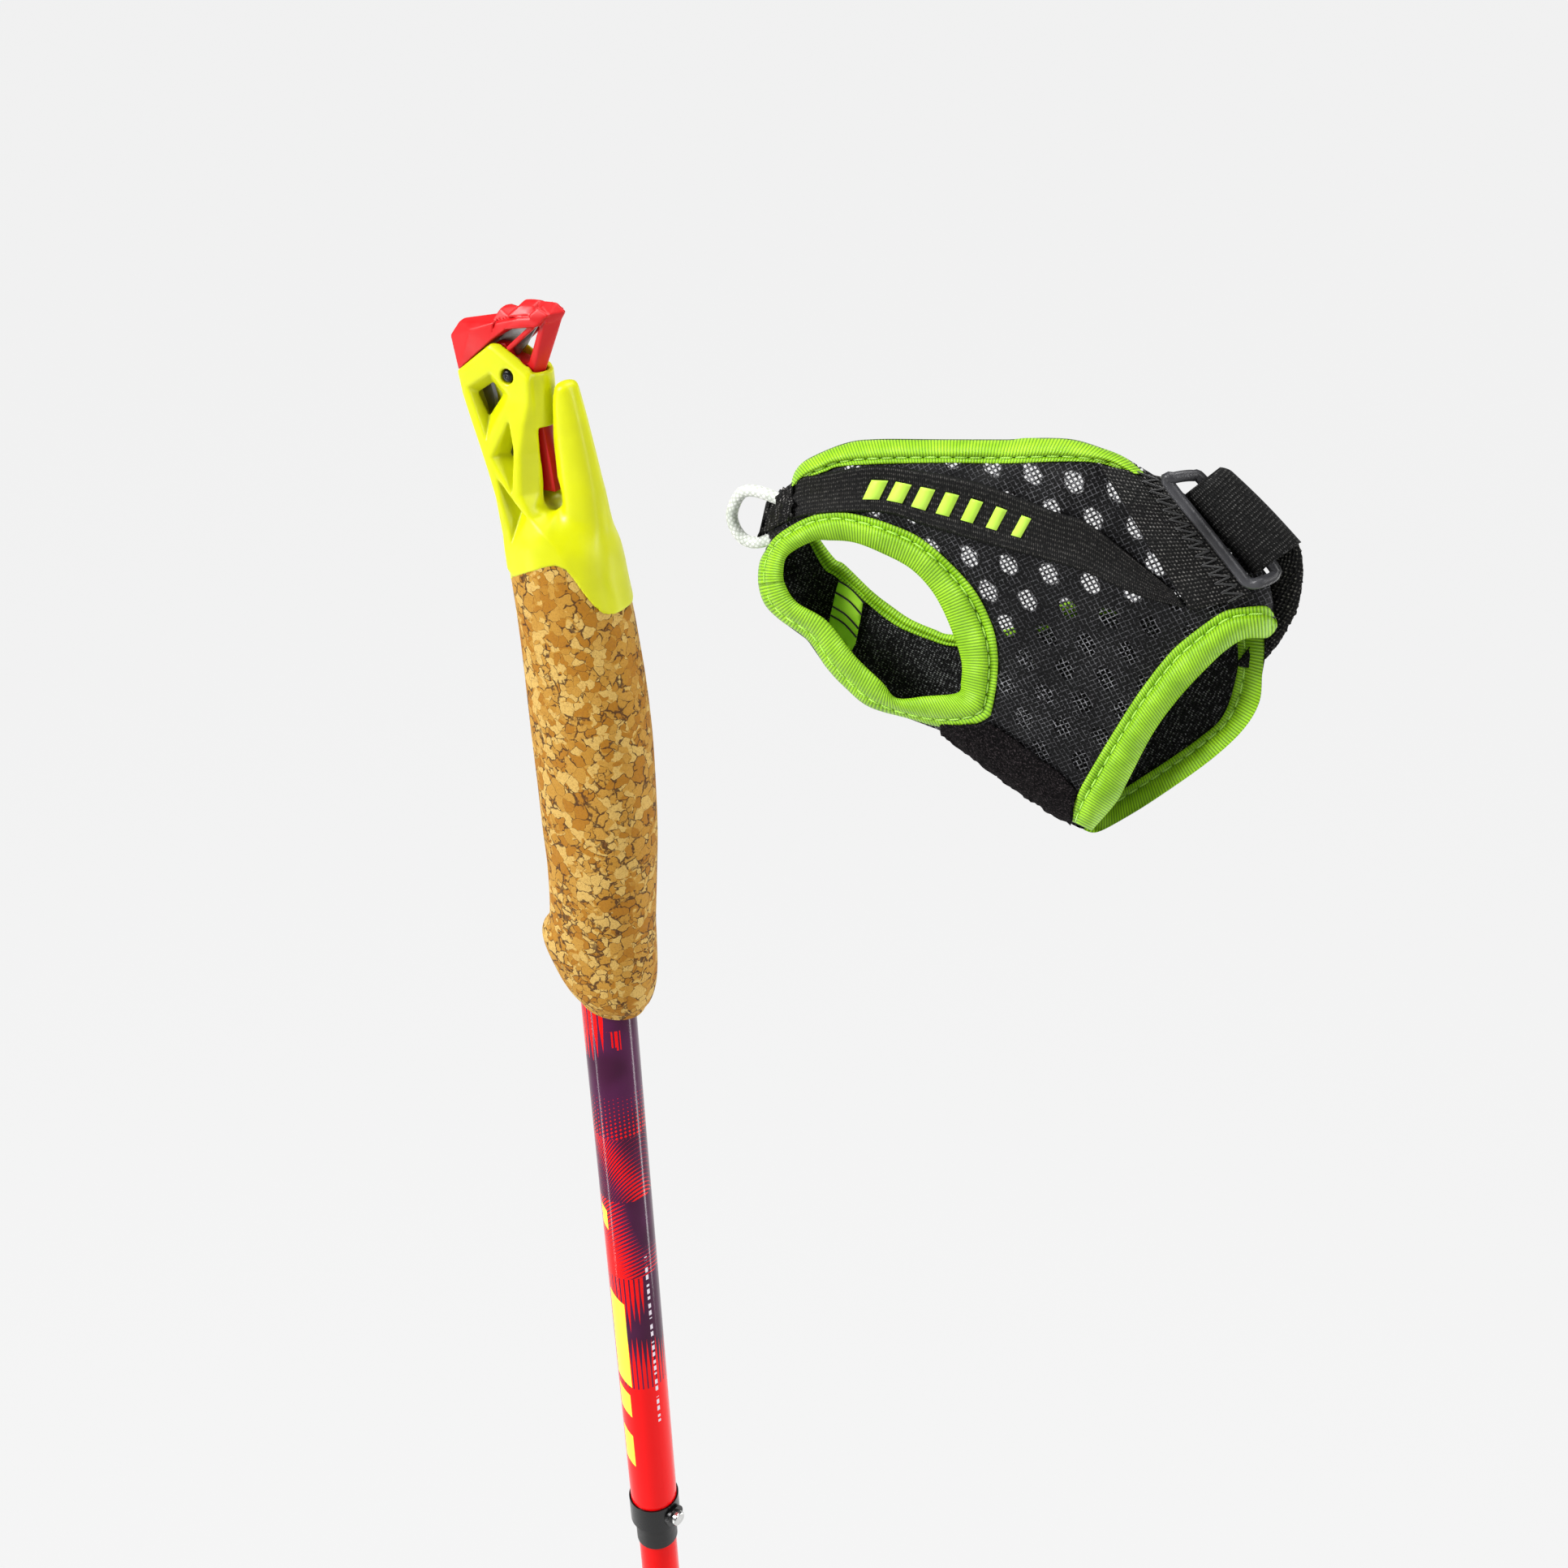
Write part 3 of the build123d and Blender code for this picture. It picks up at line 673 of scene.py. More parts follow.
# Height, centre X, half length in X and half width in Y of the cork and the skirt over it
GRIP_SECTIONS = [
    (995.5, 1.6, 10.2, 9.6), (998.0, 1.4, 12.4, 11.2), (1002.5, 0.9, 14.4, 12.4),
    (1008.0, 0.2, 15.9, 13.0), (1014.5, -0.7, 17.2, 13.4), (1020.0, -0.8, 17.5, 13.6),
    (1026.0, 0.9, 15.9, 13.6), (1042.0, 2.2, 16.1, 13.7), (1055.0, 2.6, 16.8, 13.9),
    (1070.0, 2.8, 17.1, 14.0), (1085.0, 2.7, 17.3, 14.0), (1100.0, 2.3, 16.9, 14.0),
    (1112.0, 1.6, 16.3, 13.9), (1122.0, 0.8, 15.8, 13.8), (1131.0, -0.4, 15.1, 13.5),
    (1140.0, -1.0, 14.2, 12.6), (1150.0, -3.0, 11.4, 10.2),
]
# Lower edge of the skirt over the cork, as (x, z)
SKIRT_EDGE = [(-30, 1127.2), (-16, 1127.5), (-12.6, 1129.3), (-10.2, 1131.6), (-6, 1133.8), (-1.9, 1135.7),
              (1.8, 1137.2), (4.6, 1137.9), (7.0, 1137.0), (8.6, 1134.6), (10.4, 1131.0), (12.6, 1127.0),
              (14.2, 1124.6), (16.0, 1123.6), (30, 1123.5)]
CORK_INSET = 0.12
CORK_BORE = SHAFT_R + 0.05
CORK_BOTTOM, CORK_TOP = 995.5, 1139
CORK_SLANT, SLANT_HEIGHT = 2.6, 24
# Rounded underside: share of the way from the bore to the rim, and how far below the rim
CORK_UNDERSIDE = [(0.30, 0.9), (0.62, 1.35), (0.80, 1.45), (0.93, 1.15), (0.99, 0.5)]


def grip_section(z):
    """Centre X, half length and half width of the grip at a height."""
    fine = spline(GRIP_SECTIONS, 1.0)
    order = np.argsort(fine[:, 0])
    return [np.interp(z, fine[order, 0], fine[order, k]) for k in (1, 2, 3)]


def make_cork():
    """Cork handle, slanted and rounded off at its lower end."""
    sides = 128
    rows = np.concatenate([np.linspace(CORK_BOTTOM, 1002, 14), np.linspace(1003, CORK_TOP, 138)])
    angle = np.linspace(0, 2 * math.pi, sides, endpoint=False)
    around = np.stack([np.cos(angle), np.sin(angle)], 1)
    rings = []
    for z in rows:
        x0, a, b = grip_section(z)
        lift = CORK_SLANT * max(0.0, 1 - (z - CORK_BOTTOM) / SLANT_HEIGHT) ** 1.2 * (1 - around[:, 0])
        flat = around * (a - CORK_INSET, b - CORK_INSET) + (x0, 0)
        rings.append(np.column_stack([flat, z + lift]))
    rim = rings[0]
    radius = np.hypot(rim[:, 0], rim[:, 1])
    under = []
    for share, drop in CORK_UNDERSIDE:
        scale = (CORK_BORE + (radius - CORK_BORE) * share) / radius
        under.append(np.column_stack([rim[:, :2] * scale[:, None], rim[:, 2] - drop]))
    bore = np.column_stack([around * CORK_BORE, under[0][:, 2] + 2.0])
    verts = np.concatenate(under + rings + [bore])
    faces = grid_faces(len(under) + len(rings), sides, False, True)
    start = len(verts) - sides
    faces += [((j + 1) % sides, j, start + j, start + (j + 1) % sides) for j in range(sides)]
    add_piece("cork_handle", verts, faces, CORK, "root", "cork", ["cork_grip"])


# ---------------------------------------------------------------- neon head

# Side view of the fin in front of the slot, then half widths and edges of the head by height
FIN_SIDE = [(-24.0, 1182.7), (-13.6, 1190.4), (-10.6, 1190.6), (-3.2, 1185.6), (-2.3, 1183.4),
            (-2.5, 1151.0), (6.0, 1141.0), (6.0, 1134.0), (-11.5, 1134.0), (-12.2, 1141.0), (-13.6, 1152.4),
            (-15.8, 1158.6), (-18.2, 1164.8), (-20.7, 1171.0), (-23.0, 1177.0)]
HALF_WIDTH = [(1120, 8.8), (1131, 9.4), (1141, 10.3), (1152, 9.9), (1165, 7.9), (1177, 6.1), (1183, 5.8),
              (1190, 5.3), (1195, 5.0)]
# X where the side face turns towards the slot, by height
TURN_X = [(1130, 12.0), (1143, 4.0), (1148.6, -3.0), (1154, -5.9), (1164, -5.9), (1171.5, -4.6), (1178, -2.6),
          (1184, -1.4), (1190, 0.0)]
HORN_FRONT_X = [(1134, -0.6), (1146, 1.0), (1150, 1.3), (1158, 0.7), (1168, 0.4), (1176, 0.9), (1183, 1.8)]
HORN_REAR_X = [(1120, 15.8), (1127, 15.3), (1136, 14.4), (1145, 13.6), (1154, 12.6), (1163, 11.1),
               (1172, 9.5), (1178, 8.3), (1183, 7.2)]
HORN_HALF = [(1134, 10.5), (1141, 8.6), (1148, 6.8), (1158, 5.6), (1168, 5.0), (1176, 4.5), (1183, 3.9)]
HORN_TOP, HORN_CAP_R = 1182.0, 3.2
SHAFT_TOP = 1142.0
SLEEVE_X, SLEEVE_R, SLEEVE_WALL, SLEEVE_TOP, SLEEVE_BOTTOM = -4.7, 4.75, 1.1, 1184.0, 1170.3
POCKET = [(-20.2, 1200), (-21.6, 1178.5), (-19.3, 1171.5), (-17.0, 1165), (-14.2, 1159), (-11.4, 1152.0),
          (-2.0, 1150.5), (6.0, 1150.5), (6.0, 1200)]
POCKET_HALF = 3.3
HEAD_LEAF = [(-21.0, 1179.6), (-18.0, 1180.6), (-17.0, 1176), (-16.4, 1168), (-13.2, 1160), (-14.0, 1159.6),
             (-16.6, 1165.6), (-18.9, 1172)]
PIN_X, PIN_Z, PIN_R = -9.0, 1182.9, 1.6
# Lattice recesses: corners with the slope of the side that starts there, then the greatest depth
RECESSES = [
    ([(-21.0, 1179.2, 1.0), (-13.8, 1183.5, 0.85), (-8.6, 1178.2, 0.9), (-15.8, 1166.2, 3.5)], 9.0),
    ([(-9.1, 1172.3, 1.9), (-14.5, 1162.4, 1.9), (-8.2, 1153.8, 5.0), (-7.7, 1165.1, 5.0)], 9.0),
    ([(-13.0, 1157.8, 4.0), (-3.9, 1148.2, 1.1), (-9.0, 1141.8, 1.5), (-11.2, 1149.5, 1.5)], 4.5),
]


def along(table, z):
    """A measure of the head at a height."""
    heights, values = zip(*table)
    return np.interp(z, heights, values)


def recess_field(corners, deepest, x, y, z, half):
    """Hollow whose sides slope in from each edge of a convex outline."""
    points = [(a, b) for a, b, _ in corners]
    centre = np.mean(points, axis=0)
    out = half - deepest - np.abs(y)
    for (ax, az, slope), (bx, bz) in zip(corners, points[1:] + points[:1]):
        nx, nz = bz - az, ax - bx
        size = math.hypot(nx, nz)
        sign = 1 if (centre[0] - ax) * nx + (centre[1] - az) * nz > 0 else -1
        inward = sign * ((x - ax) * nx + (z - az) * nz) / size
        out = keep(out, (half - slope * inward - np.abs(y)) / math.hypot(1, slope), 0.35)
    return out


def grip_form(x, y, z):
    """Upper end of the grip, rounded over, which the head stands on."""
    x0, a, b = grip_section(np.clip(z, 1120, 1150))
    u, v = (x - x0) / a, y / b
    radius = np.sqrt(u * u + v * v) + 1e-6
    form = (radius - 1) / (np.sqrt((u / a) ** 2 + (v / b) ** 2) / radius + 1e-6)
    return keep(form, z - 1149.5 + np.abs(x - 2) * 0.5, 6.0)


def fin_form(x, y, z, half):
    """Fin in front of the slot, with its sides turned in towards the slot and its top sloped."""
    side = polygon_distance(FIN_SIDE, x, z)
    turn = 0.78 * (x - along(TURN_X, z)) + 0.62 * (np.abs(y) - half)
    fin = keep(keep(side, (np.abs(y) - half) * 0.98, 1.3), turn, 0.7)
    rear_slope = 0.54 * (x + 2.8) + 0.84 * (z - 1185.5)
    return keep(fin, 0.7 * rear_slope + 0.7 * (np.abs(y) - half) + 1.5, 0.5)


def horn_form(x, y, z):
    """Horn behind the slot: chamfered on both sides, with a rounded top."""
    front, rear, width = along(HORN_FRONT_X, z), along(HORN_REAR_X, z), along(HORN_HALF, z)
    thick = rear - front
    nx, ny = width * 0.55, thick * 0.36
    near = (-(x - front) * nx + (np.abs(y) - width * 0.45) * ny) / np.hypot(nx, ny)
    fx, fy = width * 0.55, thick * 0.42
    back = ((x - rear) * fx + (np.abs(y) - width * 0.45) * fy) / np.hypot(fx, fy)
    horn = keep(front - x, x - rear, 1.5)
    horn = keep(horn, np.abs(y) - width, 2.5)
    horn = keep(keep(horn, near, 1.2), back, 3.0)
    cap_z = HORN_TOP - HORN_CAP_R
    cap = np.sqrt(((x - 4.9) * 0.85) ** 2 + (y * 0.7) ** 2 + (z - cap_z) ** 2) - HORN_CAP_R
    return keep(horn, np.where(z > cap_z, cap, -1.0), 0.8)


def cut_slot(head, x, y, z):
    """Slot for the leg of the lever, with a scoop at its foot."""
    pocket = keep(polygon_distance(POCKET, x, z), np.abs(y) - POCKET_HALF, 0.8)
    pocket = keep(pocket, x - along(HORN_FRONT_X, z) + 0.2, 1.0)
    head = cut(head, pocket, 0.8)
    scoop = np.sqrt(((x - 0.4) * 0.9) ** 2 + (y * 0.8) ** 2 + ((z - 1152.5) * 0.75) ** 2) - 3.4
    return cut(head, scoop, 1.6)


def add_sleeve(head, x, y, z):
    """Half sleeve round the plunger, with its bore."""
    around = np.hypot(x - SLEEVE_X, y)
    sleeve = keep(around - SLEEVE_R, keep(z - SLEEVE_TOP, SLEEVE_BOTTOM - z, 0.4), 0.5)
    sleeve = keep(sleeve, -6.0 - x, 0.4)
    head = join(head, sleeve, 0.8)
    return cut(head, keep(around - (SLEEVE_R - SLEEVE_WALL), SLEEVE_BOTTOM - 2 - z, 0.3), 0.3)


def make_head():
    step = 0.36
    low, high = (-26, -15.5, 1121), (19.5, 15.5, 1192.5)
    x, y, z = sample_grid(low, high, step)
    half = along(HALF_WIDTH, z)
    head = join(grip_form(x, y, z), fin_form(x, y, z, half), 3.0)
    head = join(head, horn_form(x, y, z), 3.5)
    head = add_sleeve(cut_slot(head, x, y, z), x, y, z)
    for corners, deepest in RECESSES:
        head = cut(head, recess_field(corners, deepest, x, y, z, half), 0.4)
    head = cut(head, np.hypot(x - PIN_X, z - PIN_Z) - PIN_R - 0.28, 0.35)
    head = keep(head, polygon_distance(SKIRT_EDGE + [(30, 1200), (-30, 1200)], x, z), 0.45)
    head = cut(head, keep(np.hypot(x, y) - SHAFT_R, z - SHAFT_TOP, 0.3), 0.3)
    verts, faces = surface_net(head, low, step)
    add_piece("head_shell", verts, faces, NEON, "root", "neon_plastic", ["grip_head"])


def plate(outline, half):
    """Flat plate of the given half thickness about the plane Y = 0."""
    size = len(outline)
    verts = [(x, side * half, z) for side in (-1, 1) for x, z in outline]
    faces = [tuple(range(size)), tuple(range(2 * size - 1, size - 1, -1))]
    faces += [((i + 1) % size, i, i + size, (i + 1) % size + size) for i in range(size)]
    return verts, faces


def make_plates():
    """Steel leaves seen through the openings in the head and in the lever."""
    add_piece("head_spring_plate", *plate(HEAD_LEAF, 0.7), SPRING, "root", "spring_steel", (), False)
    add_piece("lever_plate", *plate(LEVER_PLATE, 0.35), SPRING, "lever", "spring_steel", (), False)


def make_pin():
    """Pin with domed ends in the hub of the lever."""
    dome = [(0.02, 5.66), (0.7, 5.64), (1.15, 5.58), (1.4, 5.4), (1.45, 5.1)]
    profile = dome + [(r, -h) for r, h in reversed(dome)]
    verts, faces = lathe(profile, 32)
    turned = np.stack([verts[:, 0] + PIN_X, verts[:, 2], verts[:, 1] + PIN_Z], 1)
    add_piece("lever_pin_domed", turned, faces, BLACK_METAL, "root", "dark_steel", ["lever_pin"])


# ---------------------------------------------------------------- red lever

CAP_BODIES = [
    [(-27.5, 1.8, 1190.3), (-27.6, 0, 1190.3), (-24.7, 3.8, 1182.4), (-25.6, 0, 1182.4), (-24.3, 1.8, 1194.0),
     (-24.2, 0, 1194.4), (-19.3, 4.6, 1193.1), (-14.2, 5.0, 1190.4), (-12.2, 4.4, 1195.6), (-12.9, 0, 1196.8),
     (-13.0, 5.0, 1191.4)],
    [(-13.4, 5.0, 1191.2), (-11.6, 4.5, 1195.4), (-12.9, 0, 1196.6), (-7.1, 0, 1197.9), (-5.3, 4.6, 1197.2),
     (-8.6, 5.0, 1194.4), (-12.0, 0, 1192.0), (-7.0, 0, 1194.6)],
    [(-8.6, 5.0, 1194.4), (-5.3, 4.6, 1197.2), (-7.1, 0, 1198.4), (-1.0, 0, 1200.6), (2.4, 3.6, 1197.9),
     (0.0, 4.4, 1195.6), (-4.5, 5.0, 1195.7), (-4.5, 0, 1195.9), (1.5, 0, 1196.2)],
    [(-13.6, 3.4, 1195.4), (-13.9, 0, 1195.8), (-11.2, 2.4, 1198.6), (-11.4, 0, 1198.9), (-8.0, 3.4, 1197.0),
     (-7.4, 0, 1199.0)],
    [(-8.4, 4.2, 1197.2), (-8.4, 0, 1197.8), (-4.9, 2.8, 1200.2), (-5.3, 0, 1200.8), (-1.0, 0, 1201.1),
     (-1.4, 2.4, 1200.2), (-2.5, 3.8, 1198.4), (0.5, 3.4, 1197.4)],
    [(-2.0, 4.2, 1198.0), (0.3, 3.2, 1200.1), (3.6, 3.5, 1198.6), (-0.4, 4.2, 1196.4), (1.0, 1.0, 1199.8),
     (3.2, 1.2, 1198.0)],
    [(-1.0, 0, 1200.9), (2.0, 0, 1200.3), (3.7, 0, 1201.0), (6.2, 0, 1198.9), (3.3, 3.0, 1198.6),
     (2.2, 3.2, 1196.4), (4.4, 0, 1196.4), (0.6, 3.2, 1198.6), (0.5, 0, 1196.0)],
]
LEG_BODIES = [
    [(5.6, 0, 1198.6), (2.6, 3.1, 1198.4), (0.6, 3.0, 1196.8), (0.6, 0, 1196.0), (-1.4, 0, 1183.4),
     (-3.2, 2.9, 1183.4), (-4.9, 2.5, 1184.6), (-4.8, 0, 1184.6)],
    [(-1.4, 0, 1183.4), (-3.2, 2.7, 1183.4), (-5.0, 2.4, 1184.6), (-5.0, 0, 1184.6), (-1.9, 0, 1170.5),
     (-2.2, 2.2, 1170.5), (-5.2, 2.2, 1170.5)],
    [(-1.9, 0, 1171.5), (-2.2, 2.3, 1171.5), (-5.2, 2.3, 1171.5), (0.2, 0, 1153.4), (0.0, 2.4, 1153.4),
     (-4.6, 2.4, 1153.4), (-0.4, 0, 1161.0), (-0.7, 2.4, 1161.0)],
]
# Strut: its two ends as (x, z), then least and greatest Y and half thickness
STRUT = (-0.8, 1196.0), (-9.0, 1189.4)
STRUT_Y, STRUT_THICK = (2.3, 3.8), 0.6
HUB = [(-13.4, 1190.2), (-10.6, 1190.2), (-9.4, 1187.0), (-6.4, 1186.2), (-4.6, 1184.6), (-4.4, 1179.6),
       (-8.6, 1178.8), (-12.4, 1180.4), (-14.4, 1186.0)]
LEG_BRIDGE = [(-6.8, 1186.0), (-3.0, 1185.6), (-2.4, 1180.5), (-5.6, 1180.0)]
BEAK_HOLLOW = [(-22, 1180), (-13.4, 1189.6), (-12.0, 1180)]
LEVER_PLATE = [(-14.0, 1190.4), (-11.0, 1192.6), (-7.7, 1194.4), (-4.0, 1195.8), (-1.6, 1195.6),
               (-4.8, 1191.4), (-6.0, 1189.6), (-8.6, 1187.0), (-11.4, 1186.6)]


def strut_form(x, y, z):
    """Strut on each side from the arch down to the hub."""
    (ax, az), (bx, bz) = STRUT
    size = math.hypot(bx - ax, bz - az)
    dx, dz = (bx - ax) / size, (bz - az) / size
    t = (x - ax) * dx + (z - az) * dz
    off = np.abs((x - ax) * dz - (z - az) * dx)
    rim = keep(np.abs(y) - STRUT_Y[1], STRUT_Y[0] - np.abs(y), 0.2)
    return keep(keep(off - STRUT_THICK, rim, 0.3), np.abs(t - size / 2) - size / 2 - 0.6, 0.3)


def make_lever():
    """Faceted cap and leg from convex bodies, joined to the hub on the pin."""
    step = 0.27
    low, high = (-28.8, -6.0, 1152.4), (7.4, 6.0, 1202.4)
    x, y, z = sample_grid(low, high, step)
    lever = hull_distance(CAP_BODIES[0], x, y, z)
    for points in CAP_BODIES[1:] + LEG_BODIES:
        lever = np.minimum(lever, hull_distance(points, x, y, z))
    lever = join(lever, strut_form(x, y, z), 0.5)
    hub = keep(polygon_distance(HUB, x, z), np.abs(y) - 2.6, 0.4)
    bridge = keep(polygon_distance(LEG_BRIDGE, x, z), np.abs(y) - 2.4, 0.4)
    lever = join(lever, join(hub, bridge, 0.5), 0.5)
    beak = keep(polygon_distance(BEAK_HOLLOW, x, z), np.abs(y) - 9, 0.2)
    lever = cut(lever, keep(beak, 3.15 - np.abs(y), 0.2), 0.2)
    lever = cut(lever, np.hypot(x - PIN_X, z - PIN_Z) - PIN_R - 0.06, 0.2)
    verts, faces = surface_net(lever, low, step)
    add_piece("lever_faceted", verts, faces, RED, "lever", "red_plastic", ["release_lever"])


# ---------------------------------------------------------------- hand strap

# The strap hangs with its palm side towards -Y. Its outlines are laid out in the plane Y = 0,
# as (x, z), and each point is then slid towards or away from DRAWN_FROM to its own depth in Y.
DRAWN_FROM = (256.9, -368.9, 1318.6)
FRONT_DEPTH, BACK_DEPTH, ROUND_OVER = 9.0, 8.0, 16.0
PANEL_THICKNESS = 0.7

SILHOUETTE = [
    (61.5, 1161), (65.5, 1164), (66.5, 1167.5), (70, 1171), (79.5, 1176), (87.5, 1178), (103, 1180),
    (118.5, 1182), (133, 1184), (145.5, 1181.5), (152, 1178.5), (166, 1172), (178, 1160), (180, 1153),
    (179, 1137), (179, 1130), (176, 1122.5), (169.5, 1113.5), (159.5, 1102.5), (151.5, 1094.5),
    (144.5, 1088.5), (140, 1088.5), (133.5, 1090.5), (122.5, 1096), (112, 1101.5), (104, 1107),
    (95.5, 1108.5), (85, 1109.5), (78.5, 1113.5), (73.5, 1118), (68.5, 1124.5), (61, 1128.5),
    (57, 1132), (55.5, 1137), (56, 1142.5), (58, 1146.5), (58, 1151),
]
BAND_TOP = [(61.5, 1157.5), (66, 1165), (74.5, 1168), (86.5, 1171.5), (99.5, 1172), (113, 1171),
            (130.5, 1167), (139, 1165), (158, 1153)]
BAND_BOTTOM = [(58, 1151), (69.5, 1157), (88.5, 1160.5), (99.5, 1159), (118.5, 1156.5), (135.5, 1154.5),
               (150.5, 1150.5), (161, 1149.5)]
THUMB_OUTER = [
    (55.5, 1137), (56, 1142.5), (58, 1146.5), (61.5, 1151), (69.5, 1156.5), (76.5, 1159), (84, 1159),
    (91, 1158), (98, 1156), (105, 1151.5), (112, 1145), (116.5, 1137), (118, 1130), (118, 1123),
    (117, 1115.5), (116, 1113), (111.5, 1110), (104, 1108), (95.5, 1108.5), (85, 1109.5), (78.5, 1113.5),
    (73.5, 1118), (68.5, 1124.5), (61, 1128.5), (57, 1132),
]
THUMB_INNER = [
    (62.5, 1141.5), (64, 1146), (70.5, 1150.5), (75, 1151.5), (81.5, 1152), (88.5, 1150.5), (95.5, 1148),
    (100.5, 1144), (104, 1139), (107, 1132.5), (109, 1126.5), (109, 1121), (108, 1118), (100, 1115.5),
    (92.5, 1113.5), (88.5, 1117), (81.5, 1122.5), (74, 1130.5), (66, 1134), (63, 1138),
]
WRIST_NEAR_OUTER = [(137.5, 1090), (139, 1097.5), (143.5, 1108.5), (147.5, 1117.5), (152, 1127),
                    (157, 1136), (160.5, 1141), (166.5, 1147.5), (170, 1150.5), (174, 1152), (178.5, 1153),
                    (180.6, 1151.8)]
WRIST_NEAR_INNER = [(143, 1088.5), (148.5, 1097.5), (151, 1104), (156, 1117.5), (161.5, 1128), (167.5, 1137),
                    (171, 1141.5), (174.5, 1144.5), (179.0, 1145.6), (181.4, 1146.8)]
WRIST_FAR_OUTER = [(177.6, 1150), (178.8, 1144), (179, 1137), (179, 1130), (176, 1122.5), (169.5, 1113.5),
                   (159.5, 1102.5), (151.5, 1094.5), (144.5, 1088.5), (141, 1088.3)]
WRIST_FAR_INNER = [(171.0, 1148.5), (173.0, 1143), (173.5, 1136), (171.5, 1125.5), (166.5, 1118.5),
                   (158.5, 1110), (149, 1100.5), (142.5, 1093.5)]
TAPE_LEFT = [(139.6, 1179.2), (145.8, 1171), (152.8, 1161.2), (162, 1149.1)]
TAPE_RIGHT = [(153.9, 1178.4), (161, 1170), (168.7, 1162), (175.5, 1154.7)]
TOP_OUTER = [(65.2, 1163.8), (66.5, 1167.5), (70, 1171), (79.5, 1176), (87.5, 1178), (103, 1180),
             (118.5, 1182), (123.5, 1183), (133, 1184), (140, 1183), (145.5, 1181.5), (150, 1178.5)]
TOP_INNER = [(66.0, 1163.4), (69.5, 1166.0), (74.5, 1168.5), (79.5, 1170.5), (99.5, 1174), (118.5, 1176.5),
             (130, 1178.5), (139.5, 1179.5), (146.5, 1178)]
BACK_EDGE_TOP = [(69.5, 1156.0), (72.5, 1151.5), (76.5, 1147), (79, 1146), (86, 1140.5), (91, 1137.5),
                 (96, 1135), (102, 1133.5), (106.5, 1133), (118, 1136), (125.5, 1140), (131.5, 1145),
                 (139, 1147.5), (148, 1149.5)]
BACK_EDGE_LOW = [(67.5, 1154.5), (70.0, 1149.5), (73.5, 1144), (76.5, 1142.5), (84, 1137.5), (89.5, 1134),
                 (94, 1132), (101, 1130.5), (107, 1130), (119, 1132.5), (127, 1136.5), (133, 1141),
                 (140, 1144), (149, 1146)]
FLEECE = [(104, 1108.6), (104, 1106), (112, 1101.3), (122.5, 1095.6), (133.5, 1090.2), (138, 1088.8),
          (138.6, 1098.5), (133.5, 1102.5), (125, 1107.5), (117, 1111.5)]
PATCH = [(78.5, 1145), (81.5, 1143.2), (84.2, 1141), (83.2, 1134), (81.6, 1126), (80.4, 1123.6),
         (74.4, 1129.8), (75.6, 1135), (76.8, 1140)]
RING = [(155.0, 1177.4), (156.4, 1178.6), (160.2, 1179.6), (162.3, 1178.9), (170.5, 1170.6), (178.6, 1162.4),
        (179.4, 1160.6), (178.3, 1159.2), (175.3, 1157.6), (173.3, 1158.0), (171.6, 1159.8), (163.3, 1168.6)]
# Far bar of the ring: a point, the way along it and the way across it; then the webbing round it,
# as (across, y)
BAR_START, BAR_ALONG, BAR_ACROSS = np.array([161.0, 1177.4]), np.array([0.77, -0.64]), np.array([0.70, 0.71])
WRAP = [(-1.2, 2.5), (-3.0, -1.0), (-3.4, -4.2), (-1.6, -6.6), (1.6, -7.4), (4.6, -6.2), (6.4, -3.4),
        (6.6, 0.2), (5.0, 3.2)]
WRAP_STEP, WEBBING_THICK, WEBBING_WIDTH, FRAYED_FROM = 0.35, 1.2, 22.6, 22.2
CORD_LOOP = [(62.5, 1159.8), (55.5, 1161), (51.5, 1159.5), (49, 1153.8), (51, 1149), (55, 1147.8),
             (61.5, 1150.2)]


def slide(p, y):
    """Points of the plane Y = 0 taken to depth y on their lines to DRAWN_FROM."""
    p = np.asarray(p, float)
    y = np.broadcast_to(y, p.shape[:-1])
    share = y / DRAWN_FROM[1]
    x = p[..., 0] + (DRAWN_FROM[0] - p[..., 0]) * share
    z = p[..., 1] + (DRAWN_FROM[2] - p[..., 1]) * share
    return np.stack([x, y, z], -1)


BODY_LINE = spline(SILHOUETTE, 2.5, True).tolist()


def ripple(p):
    """Gentle unevenness of sewn cloth."""
    x, z = p[..., 0], p[..., 1]
    return (0.30 * np.sin(x * 0.23 + z * 0.11) + 0.20 * np.sin(x * 0.41 - z * 0.33 + 1.0)
            + 0.14 * np.sin(x * 0.12 + z * 0.67 + 2.0))


def rounded(p, depth):
    """Depth of the strap at points of the plane, falling to nothing at its outline."""
    d = np.maximum(-polygon_distance(BODY_LINE, p[..., 0], p[..., 1]), 0)
    share = np.minimum(d / ROUND_OVER, 1)
    return depth * np.sqrt(1 - (1 - share) ** 2)


def front(p):
    return -rounded(p, FRONT_DEPTH) - ripple(p)


def back(p):
    return rounded(p, BACK_DEPTH) + 0.8 * ripple(p)


def raised(surface, height):
    """The surface moved towards -Y by a height."""
    return lambda p: surface(p) - height


